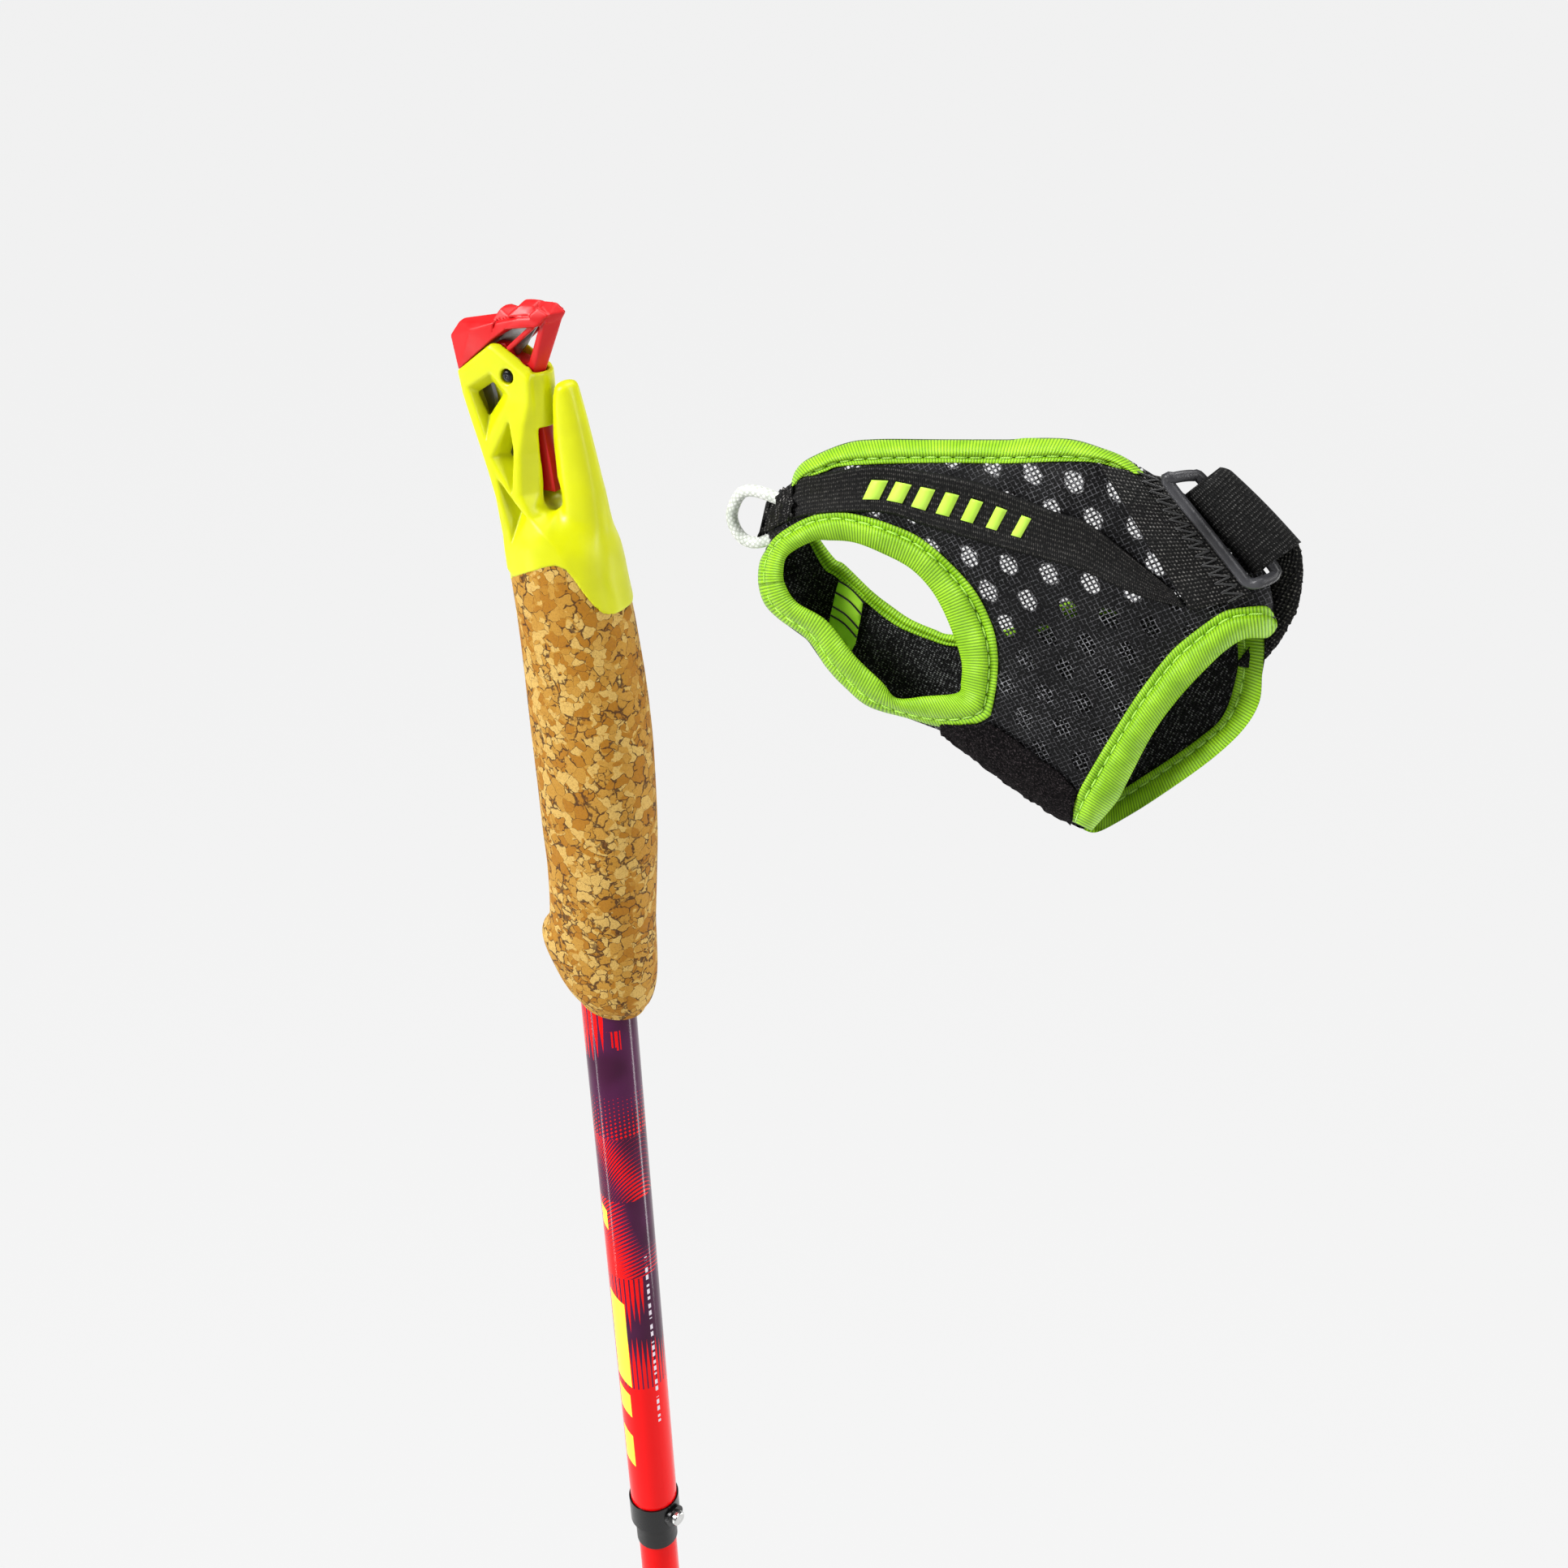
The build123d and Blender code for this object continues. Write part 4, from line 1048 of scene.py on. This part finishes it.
def panel_mesh(outline, holes, surface, spacing, thickness=PANEL_THICKNESS):
    """Thin shell over a region of the plane with holes, raised to a surface."""
    loops = [np.asarray(outline)] + [np.asarray(hole) for hole in holes]
    low, high = loops[0].min(0), loops[0].max(0)
    gx, gz = np.meshgrid(np.arange(low[0], high[0], spacing), np.arange(low[1], high[1], spacing * 0.87))
    gx = gx + (np.arange(gx.shape[0]) % 2)[:, None] * spacing / 2
    d = -polygon_distance(loops[0].tolist(), gx, gz)
    for hole in loops[1:]:
        d = np.minimum(d, polygon_distance(hole.tolist(), gx, gz))
    inner = np.stack([gx[d > spacing * 0.55], gz[d > spacing * 0.55]], 1)
    points, edges = inner.tolist(), []
    for loop in loops:
        start, size = len(points), len(loop)
        edges += [(start + i, start + (i + 1) % size) for i in range(size)]
        points += loop.tolist()
    found = geometry.delaunay_2d_cdt([Vector(p) for p in points], edges, [], 0, 1e-5)
    flat = np.array([tuple(v) for v in found[0]])
    faces = np.array([f for f in found[2] if len(f) == 3])
    middle = flat[faces].mean(1)
    inside = polygon_distance(loops[0].tolist(), middle[:, 0], middle[:, 1]) < 0
    for hole in loops[1:]:
        inside &= polygon_distance(hole.tolist(), middle[:, 0], middle[:, 1]) > 0
    faces = faces[inside]
    used = np.unique(faces)
    renumber = np.full(len(flat), -1)
    renumber[used] = np.arange(len(used))
    flat, faces = flat[used], renumber[faces]
    y = surface(flat)
    verts = np.concatenate([slide(flat, y), slide(flat, y + thickness)])
    count = len(flat)
    rim = {edge: True for a, b, c in faces for edge in ((a, b), (b, c), (c, a))}
    sides = [(b, a, a + count, b + count) for a, b in rim if (b, a) not in rim]
    other = [(c + count, b + count, a + count) for a, b, c in faces]
    return verts, [tuple(f) for f in faces] + other + sides, np.concatenate([flat, flat])


def ribbon(a, b, shape, surface, step=0.6, closed=False, ribs=0.0, rib_pitch=1.2, tuck=0.0):
    """Strip between two lines of the plane, with a closed cross-section of (share across, height) points."""
    line = spline(a, step, closed)
    count = len(line)
    other = opposite(line, b, step * 0.5, closed)
    run = run_along((line + other) / 2)
    width = np.linalg.norm(other - line, axis=1).mean()
    left = np.minimum(run[-1] - run, tuck) / tuck if tuck else np.ones(count)
    narrow = np.maximum(np.sqrt(1 - (1 - left) ** 2), 0.2)
    rows, uvs = [], []
    across = 0.0
    last = None
    for share, height in shape:
        p = line + (other - line) * (0.5 + (share - 0.5) * narrow)[:, None]
        height = height * (0.3 + 0.7 * narrow)
        rise = height - (ribs * np.cos(run * 2 * math.pi / rib_pitch) if height.max() > 0.3 else 0.0)
        if last is not None:
            across += math.hypot((share - last[0]) * width, height.max() - last[1])
        last = (share, height.max())
        rows.append(slide(p, surface(p) - rise))
        uvs.append(np.stack([run, np.full(count, across)], 1))
    verts = np.stack(rows, 1).reshape(-1, 3)
    uvs = np.stack(uvs, 1).reshape(-1, 2)
    sides = len(shape)
    faces = grid_faces(count, sides, closed, True)
    if not closed:
        faces.append(tuple(range(sides))[::-1])
        faces.append(tuple((count - 1) * sides + j for j in range(sides)))
    return verts, faces, uvs


def opposite(line, b, step, closed=False):
    """A point of the curve through b for each point of line."""
    fine = spline(b, step, closed)
    if not closed:
        return resample(fine, len(line))
    start = int(np.argmin(np.linalg.norm(fine - line[0], axis=1)))
    fine = np.roll(fine, -start, 0)
    return nearest_pairs(line, np.concatenate([fine, fine[:1]]))


def nearest_pairs(line, fine):
    """Points of fine opposite the points of line, kept in order and evened out."""
    spots = np.array([np.argmin(np.linalg.norm(fine - p, axis=1)) for p in line], float)
    even_spots = np.linspace(0, len(fine) - 1, len(line) + 1)[:-1]
    astray = np.abs(spots - even_spots) > len(fine) * 0.2
    spots = np.maximum.accumulate(np.where(astray, even_spots, spots))
    mixed = 0.6 * spots + 0.4 * even_spots
    kernel = np.ones(15) / 15
    padded = np.concatenate([mixed[-7:] - len(fine), mixed, mixed[:7] + len(fine)])
    mixed = np.convolve(padded, kernel, "valid") % len(fine)
    index = np.arange(len(fine))
    return np.stack([np.interp(mixed, index, fine[:, k]) for k in (0, 1)], 1)


def stitches(line, surface, length=2.9, gap=0.8, radius=0.24, dip=0.25):
    """Short thread capsules along a line of the plane."""
    parts = []
    spacing, sides = 0.2, 8
    path = even(line, spacing)
    period = int(round((length + gap) / spacing))
    size = int(round(length / spacing))
    for start in range(2, len(path) - size, period):
        piece = path[start:start + size + 1:2]
        t = np.linspace(0, 1, len(piece))
        arch = np.sin(t * math.pi) ** 0.5
        y = surface(piece) + dip * (1 - arch)
        thick = radius * (0.55 + 0.45 * arch)
        verts, faces = tube_mesh(slide(piece, y), np.repeat(thick[:, None], sides, 1), sides)
        parts.append((verts, faces, tube_uvs(t * length, sides, 0.2)))
    return join_meshes(parts)


def tube_uvs(run, sides, width):
    """U along a tube and V around it, with the two end points at 0."""
    around = np.tile(np.arange(sides) * width, len(run))
    return np.concatenate([np.stack([np.repeat(run, sides), around], 1), np.zeros((2, 2))])


def join_meshes(meshes):
    """Several (verts, faces, uvs) triples as one."""
    verts, faces = join_parts([mesh[:2] for mesh in meshes])
    return verts, faces, np.concatenate([mesh[2] for mesh in meshes])


def no_uvs(verts, faces):
    return verts, faces, np.zeros((len(verts), 2))


def between(a, b, share, step=0.6, closed=False):
    """The line a given share of the way from line a to line b."""
    line = spline(a, step, closed)
    return line + (opposite(line, b, step * 0.5, closed) - line) * share


def fold(flange, groove, bulge, back_depth=0.9):
    """Cross-section of a bound edge: flange on the panel, stitch groove, then the rolled fold."""
    shape = [(0.0, 0.0), (0.015, 0.5), (flange * 0.5, 0.7), (flange, 0.55), (groove, 0.05)]
    for t in np.linspace(0.07, 1.0, 14):
        rise = math.sin(t ** 0.72 * math.pi) ** 0.62 if t < 1 else 0.0
        shape.append((groove + (1 - groove) * t, 0.1 + bulge * rise - 0.5 * t ** 4))
    shape += [(0.985, -back_depth * 0.85), (0.7, -back_depth), (0.1, -back_depth)]
    return shape


BINDING = fold(0.20, 0.25, 2.3)
SLIM_BINDING = fold(0.24, 0.30, 1.5)
RIB_PITCH = 0.75
# Stripes on the band, measured in shares of its length
STRIPES, STRIPES_FROM, STRIPE_PITCH, STRIPE_LEAN = 7, 0.27, 0.058, 0.022


def strap_piece(name, mesh, material, slot, replaces=(), body="strap"):
    verts, faces, uvs = mesh
    return add_piece(name, verts, faces, material, body, slot, replaces, True, uvs)


def closed_outline(points, step):
    """Closed outline with points an even step apart."""
    return even(np.array(points + points[:1], float), step, True)


def make_panels():
    """Mesh front with its thumb opening, and the lining at the back."""
    thumb_hole = between(THUMB_OUTER, THUMB_INNER, 0.55, 1.0, True)
    start = SILHOUETTE.index((180, 1153))
    end = SILHOUETTE.index((133.5, 1090.5))
    wrist = between(WRIST_NEAR_OUTER, WRIST_NEAR_INNER, 0.5, 2.0)[::-1].tolist()
    outline = closed_outline(SILHOUETTE[:start] + wrist + SILHOUETTE[end:], 1.2)
    front_panel = strap_piece("strap_mesh_panel", panel_mesh(outline, [thumb_hole], front, 1.3), MESH,
                              "strap_mesh", ["strap_front_panel"])
    low = [p for p in SILHOUETTE[SILHOUETTE.index((178, 1160)):] if p != (58, 1151)]
    edge = between(BACK_EDGE_TOP, BACK_EDGE_LOW, 0.6, 2.0).tolist()
    region = closed_outline([(60, 1154)] + edge + [(160, 1152)] + low, 1.4)
    back_panel = strap_piece("strap_lining_panel", panel_mesh(region, [], back, 1.6), LINING,
                             "strap_lining", ["strap_back_panel", "strap_gusset"])
    return front_panel, back_panel


def make_bindings():
    """Ribbed lime tape folded over the edges, and the stitches that hold it."""
    far_side = raised(back, 1.2)
    thumb = ribbon(THUMB_OUTER, THUMB_INNER, BINDING, front, 0.35, True, 0.06, RIB_PITCH)
    strap_piece("thumb_binding", thumb, LIME, "lime_binding", ["strap_thumb_binding"])
    top = ribbon(TOP_INNER, TOP_OUTER, BINDING, front, 0.4, False, 0.05, RIB_PITCH)
    strap_piece("top_binding", top, LIME, "lime_binding", ["strap_top_binding"])
    near = ribbon(WRIST_NEAR_OUTER, WRIST_NEAR_INNER, BINDING, front, 0.4, False, 0.06, RIB_PITCH, 2.6)
    far = ribbon(WRIST_FAR_INNER, WRIST_FAR_OUTER, SLIM_BINDING, far_side, 0.4, False, 0.05, RIB_PITCH)
    strap_piece("wrist_binding", join_meshes([near, far]), LIME, "lime_binding", ["strap_wrist_binding"])
    edge = ribbon(BACK_EDGE_LOW, BACK_EDGE_TOP, SLIM_BINDING, raised(back, 0.9), 0.5, False, 0.04, RIB_PITCH)
    strap_piece("back_edge_binding", edge, LIME, "lime_binding")
    seams = [
        (between(THUMB_OUTER, THUMB_INNER, 0.245, 1.0, True), raised(front, 0.75)),
        (between(TOP_INNER, TOP_OUTER, 0.245), raised(front, 0.8)),
        (between(WRIST_NEAR_OUTER, WRIST_NEAR_INNER, 0.245), raised(front, 0.7)),
        (between(WRIST_FAR_INNER, WRIST_FAR_OUTER, 0.28), raised(far_side, 0.7)),
    ]
    sewn = join_meshes([stitches(line, surface) for line, surface in seams])
    strap_piece("binding_stitches", sewn, LIME_THREAD, "lime_binding")


def make_bands():
    """Band over the knuckles with its printed stripes, and the wrist tape with its zigzag."""
    section = [(0.0, 0.2), (0.0, 0.95), (0.03, 1.25), (0.09, 1.25), (0.12, 0.95), (0.5, 1.05), (0.86, 0.95),
               (0.89, 1.3), (0.965, 1.3), (1.0, 0.9), (1.0, 0.2)]
    band = ribbon(BAND_TOP, BAND_BOTTOM, section, front, 0.8)
    strap_piece("knuckle_band", band, BAND, "strap_band", ["strap_knuckle_band"])
    flat = [(0.0, 0.5), (0.0, 1.75), (0.04, 1.95), (0.5, 2.0), (0.55, 1.85), (0.9, 1.9), (0.96, 2.1),
            (1.0, 1.8), (1.0, 0.5)]
    tape = ribbon(TAPE_LEFT, TAPE_RIGHT, flat, front, 0.8)
    strap_piece("wrist_tape", tape, TAPE, "strap_tape", ["strap_tape_band"])
    zig = between(TAPE_LEFT, TAPE_RIGHT, 0.74, 1.35)
    side = between(TAPE_LEFT, TAPE_RIGHT, 0.92, 1.35) - zig
    path = even(zig + side * (np.arange(len(zig)) % 2)[:, None] * 1.6 - side * 0.8, 0.3)
    zigzag = no_uvs(*tube_mesh(slide(path, front(path) - 2.05), 0.2, 6))
    strap_piece("zigzag_stitch", zigzag, BLACK_THREAD, "strap_tape")
    stripes = join_meshes([band_stripe(k) for k in range(STRIPES)])
    strap_piece("band_stripes", stripes, STRIPE, "lime_binding")


def band_stripe(k):
    """Slanted stripe number k on the knuckle band, each a little narrower than the last."""
    top_line, low_line = (between(BAND_TOP, BAND_BOTTOM, share) for share in (0.30, 0.72))
    start = STRIPES_FROM + k * STRIPE_PITCH + 0.012
    ends = [start, start + 0.040 - k * 0.003]
    a, b = (point_at(top_line, end) for end in ends)
    d, c = (point_at(low_line, end - STRIPE_LEAN) for end in ends)
    section = [(0, 1.0), (0.0, 1.2), (1, 1.2), (1, 1.0)]
    return ribbon([a, (a + d) / 2, d], [b, (b + c) / 2, c], section, front, 0.8)


def point_at(line, share):
    """The point a share of the way along an even line."""
    at, index = share * (len(line) - 1), np.arange(len(line))
    return np.array([np.interp(at, index, line[:, 0]), np.interp(at, index, line[:, 1])])


def make_anchor():
    """Gathered end of the band round the cord loop."""
    top = [(58.7, 1158.8), (61.5, 1161.4), (64.0, 1163.0), (66.0, 1164.0)]
    low = [(56.0, 1148.8), (59.0, 1151.4), (62.5, 1153.6), (65.5, 1155.2)]
    section = [(0.0, -1.2), (0.0, 1.0), (0.15, 1.9), (0.32, 1.3), (0.5, 2.1), (0.68, 1.4), (0.85, 2.0),
               (1.0, 1.0), (1.0, -1.2)]
    verts, faces, uvs = ribbon(top, low, section, front, 0.5)
    rough = RNG.normal(0, 0.26, verts.shape)
    strap_piece("loop_anchor", (verts + rough, faces, uvs), TAPE, "strap_tape", ["strap_loop_anchor"])
    step, radius, sides = 0.4, 1.45, 18
    path = spline(CORD_LOOP, step)
    y = np.interp(np.linspace(0, 1, len(path)), [0, 0.5, 1], [-2.5, -1.0, -2.0])
    verts, faces = tube_mesh(slide(path, y), radius, sides)
    uvs = tube_uvs(np.arange(len(path)) * step, sides, 9.1 / sides)
    strap_piece("cord_loop", (verts, faces, uvs), CORD, "silver_cord", ["strap_loop"])


def make_ring():
    """Ladder ring: a rounded rectangular loop of round bar."""
    path = spline(RING, 0.5, True)
    far_side = np.maximum((path[:, 0] - 157) * 0.70 + (path[:, 1] - 1177) * 0.71, 0)
    verts, faces = tube_mesh(slide(path, -8.9 + 0.75 * far_side), 1.2, 18, True)
    add_piece("buckle_ring", verts, faces, RING_PLASTIC, "closure", "black_plastic", ["ladder_ring"])


def make_webbing():
    """Webbing rolled over the far bar of the ring, with its hook-faced tail."""
    strap_piece("webbing_roll", webbing_roll(), WEBBING, "strap_tape", ["strap_webbing"], "closure")
    outer = [(183.4, 1168.4), (184.6, 1165), (185.2, 1160.5), (184.6, 1152.5), (181.3, 1144.0), (177.5, 1138)]
    inner = [(179.0, 1165), (178.8, 1161), (178.2, 1156), (177.4, 1150), (175.6, 1143), (173.0, 1138)]
    section = [(0.0, -0.4), (0.0, 0.4), (0.25, 0.8), (0.75, 0.8), (1.0, 0.4), (1.0, -0.6)]
    verts, faces, uvs = ribbon(outer, inner, section, lambda p: 3.0 + 0 * p[..., 0], 0.5)
    verts = verts + RNG.normal(0, 0.10, verts.shape)
    strap_piece("webbing_tail", (verts, faces, uvs), HOOKS, "strap_tape", (), "closure")


def webbing_roll():
    """Rolled webbing with one frayed edge: WRAP carried along the bar of the ring."""
    wrap = spline(WRAP, WRAP_STEP)
    widths = np.linspace(0, WEBBING_WIDTH, 66)
    inward = unit(np.gradient(wrap, axis=0))[:, ::-1] * np.array([1, -1])
    sheets = []
    for thick in (0.0, WEBBING_THICK):
        ring = wrap + inward * thick
        rows = []
        for w in widths:
            swell = 1 + 0.05 * math.sin(w / WEBBING_WIDTH * math.pi) - 0.14 * max(0.0, 1 - w / 2.4) ** 2
            jag = RNG.normal(0, 0.12, len(ring)) if w > FRAYED_FROM else np.zeros(len(ring))
            flat = BAR_START + BAR_ALONG * (w + jag)[:, None] + BAR_ACROSS * (ring[:, :1] * swell)
            rows.append(slide(flat, ring[:, 1] * swell))
        sheets.append(np.stack(rows))
    count, n = len(widths), len(wrap)
    verts = np.concatenate([sheet.reshape(-1, 3) for sheet in sheets])
    size = count * n
    top = grid_faces(count, n)
    faces = top + [tuple(i + size for i in face[::-1]) for face in top]
    border = ([(i, 0) for i in range(count)] + [(count - 1, j) for j in range(1, n)]
              + [(i, n - 1) for i in range(count - 2, -1, -1)] + [(0, j) for j in range(n - 2, 0, -1)])
    ids = [i * n + j for i, j in border]
    faces += [(a, b, b + size, a + size) for a, b in zip(ids, ids[1:] + ids[:1])]
    u = np.tile(np.arange(n) * WRAP_STEP, count)
    v = np.repeat(widths, n)
    return verts, faces, np.tile(np.stack([v, u], 1), (2, 1))


def make_fleece():
    """Napped patch at the lower end of the mesh."""
    outline = closed_outline(FLEECE, 0.9)
    verts, faces, uvs = panel_mesh(outline, [], raised(front, 1.0), 0.9, 1.2)
    fuzz = RNG.normal(0, 0.16, verts.shape)
    return strap_piece("fleece_patch", (verts + fuzz, faces, uvs), FLEECE_NAP, "fleece", ["strap_fleece"])


def make_patch():
    """Lime reinforcement on the inner face of the back panel, sewn with four black threads."""
    surface = raised(back, 1.3)
    cloth = panel_mesh(closed_outline(PATCH, 0.8), [], surface, 0.9, 0.5)
    rows = []
    for z in (1141.6, 1138.4, 1134.6, 1132.2):
        x = 75.0 + (z - 1132) * 0.22
        line = spline([(x, z), (x + 3.5, z - 1.6), (x + 6.8, z - 4.6)], 0.4)
        rows.append(tube_mesh(slide(line, surface(line) - 0.25), 0.24, 6))
    patch = strap_piece("inner_patch", cloth, PATCH_CLOTH, "lime_binding")
    strap_piece("patch_threads", no_uvs(*join_parts(rows)), BLACK_THREAD, "lime_binding")
    return patch


# ---------------------------------------------------------------- finishes of the CAD pieces

FINISHES = {
    "upper_shaft": SHAFT_PRINT, "shaft_plug": BLACK_PLASTIC, "locking_collar": BLACK_METAL,
    "wiper_seal": BLACK_RUBBER, "push_button": STEEL, "lock_plunger": STEEL, "plunger_spring": SPRING,
    "lever_spring": SPRING, "extension_tube": RED_TUBE, "guide_bush": BLACK_PLASTIC,
    "upper_joint_socket": DARK_METAL, "upper_joint_spigot": ALUMINIUM, "middle_tube": PLUM_TUBE,
    "lower_joint_socket": DARK_METAL, "lower_joint_spigot": ALUMINIUM, "lower_tube": RED_TUBE,
    "cord_anchor": BLACK_PLASTIC, "flex_tip": BLACK_PLASTIC, "basket": BLACK_PLASTIC, "tip_insert": CARBIDE,
    "tension_cord": TENSION_CORD,
}


def finish_cad_pieces():
    for node, material in FINISHES.items():
        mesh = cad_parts[node].data
        mesh.materials.clear()
        mesh.materials.append(material.material)


# ---------------------------------------------------------------- stage, light and camera

FLOOR_GREY, FLOOR_GLOW = (0.04, 0.04, 0.04), 0.872
WORLD_STRENGTH = 0.16
GRIP_AT, SHAFT_AT = (0.06, 0.0, 1.1), (0, 0, 0.7)
# Name, place, target, width, power in watts and height of each light
LIGHTS = [
    ("key", (-1.0, -1.2, 2.2), GRIP_AT, 0.7, 52, 0.7),
    ("right", (1.5, -0.3, 1.7), GRIP_AT, 0.35, 14, 1.4),
    ("left_strip", (-0.80, -0.72, 0.42), SHAFT_AT, 0.09, 3.4, 1.0),
    ("right_strip", (0.86, 0.60, 0.42), SHAFT_AT, 0.12, 4.2, 1.0),
    ("top", (0.1, 0.3, 2.5), GRIP_AT, 1.0, 20, 1.0),
]


def make_stage():
    """Pale floor, glowing a little like the studio round it, with the pole standing on its tip."""
    size = 60.0
    corners = [(-size, -size, 0), (size, -size, 0), (size, size, 0), (-size, size, 0)]
    mesh = bpy.data.meshes.new("floor")
    mesh.from_pydata(corners, [], [(0, 1, 2, 3)])
    floor = bpy.data.objects.new("floor", mesh)
    bpy.context.scene.collection.objects.link(floor)
    m = Material("floor", 1.0, 0.0, Specular_IOR_Level=0.0, Emission_Strength=FLOOR_GLOW,
                 Emission_Color=(1.0, 1.0, 1.0, 1.0))
    floor.data.materials.append(m.colour(FLOOR_GREY).material)


def add_light(name, place, target, width, watts, height):
    """Rectangular light, unseen by the camera, turned to its target."""
    data = bpy.data.lights.new(name, "AREA")
    data.energy = watts
    data.shape = "RECTANGLE"
    data.size, data.size_y = width, height
    light = bpy.data.objects.new(name, data)
    light.location = place
    light.rotation_euler = (Vector(target) - Vector(place)).to_track_quat("-Z", "Y").to_euler()
    light.visible_camera = False
    bpy.context.scene.collection.objects.link(light)


def make_lights():
    world = bpy.data.worlds.new("studio")
    world.use_nodes = True
    inputs = world.node_tree.nodes["Background"].inputs
    inputs["Color"].default_value = (1.0, 1.0, 1.0, 1.0)
    inputs["Strength"].default_value = WORLD_STRENGTH
    bpy.context.scene.world = world
    bpy.context.scene.view_settings.view_transform = "Standard"
    for light in LIGHTS:
        add_light(*light)


CAMERA_AT = (0.256886, -0.368862, 1.318551)
AZIMUTH, ELEVATION, ROLL = 28.0, 29.5, -1.9
LENS = 42.86


def make_camera():
    data = bpy.data.cameras.new("camera")
    data.sensor_width = 36.0
    data.lens = LENS
    data.clip_start, data.clip_end = 0.01, 200.0
    camera = bpy.data.objects.new("camera", data)
    camera.location = CAMERA_AT
    turn = Euler((math.radians(90 - ELEVATION), 0, math.radians(AZIMUTH))).to_matrix()
    roll = Euler((0, 0, math.radians(ROLL))).to_matrix()
    camera.rotation_euler = (turn @ roll).to_euler()
    bpy.context.scene.collection.objects.link(camera)
    bpy.context.scene.camera = camera


make_camera()
make_stage()
make_lights()
make_cork()
make_head()
make_plates()
make_pin()
make_lever()
mesh_panel, lining_panel = make_panels()
make_bindings()
make_bands()
make_anchor()
make_ring()
make_webbing()
fleece_patch = make_fleece()
inner_patch = make_patch()
finish_cad_pieces()
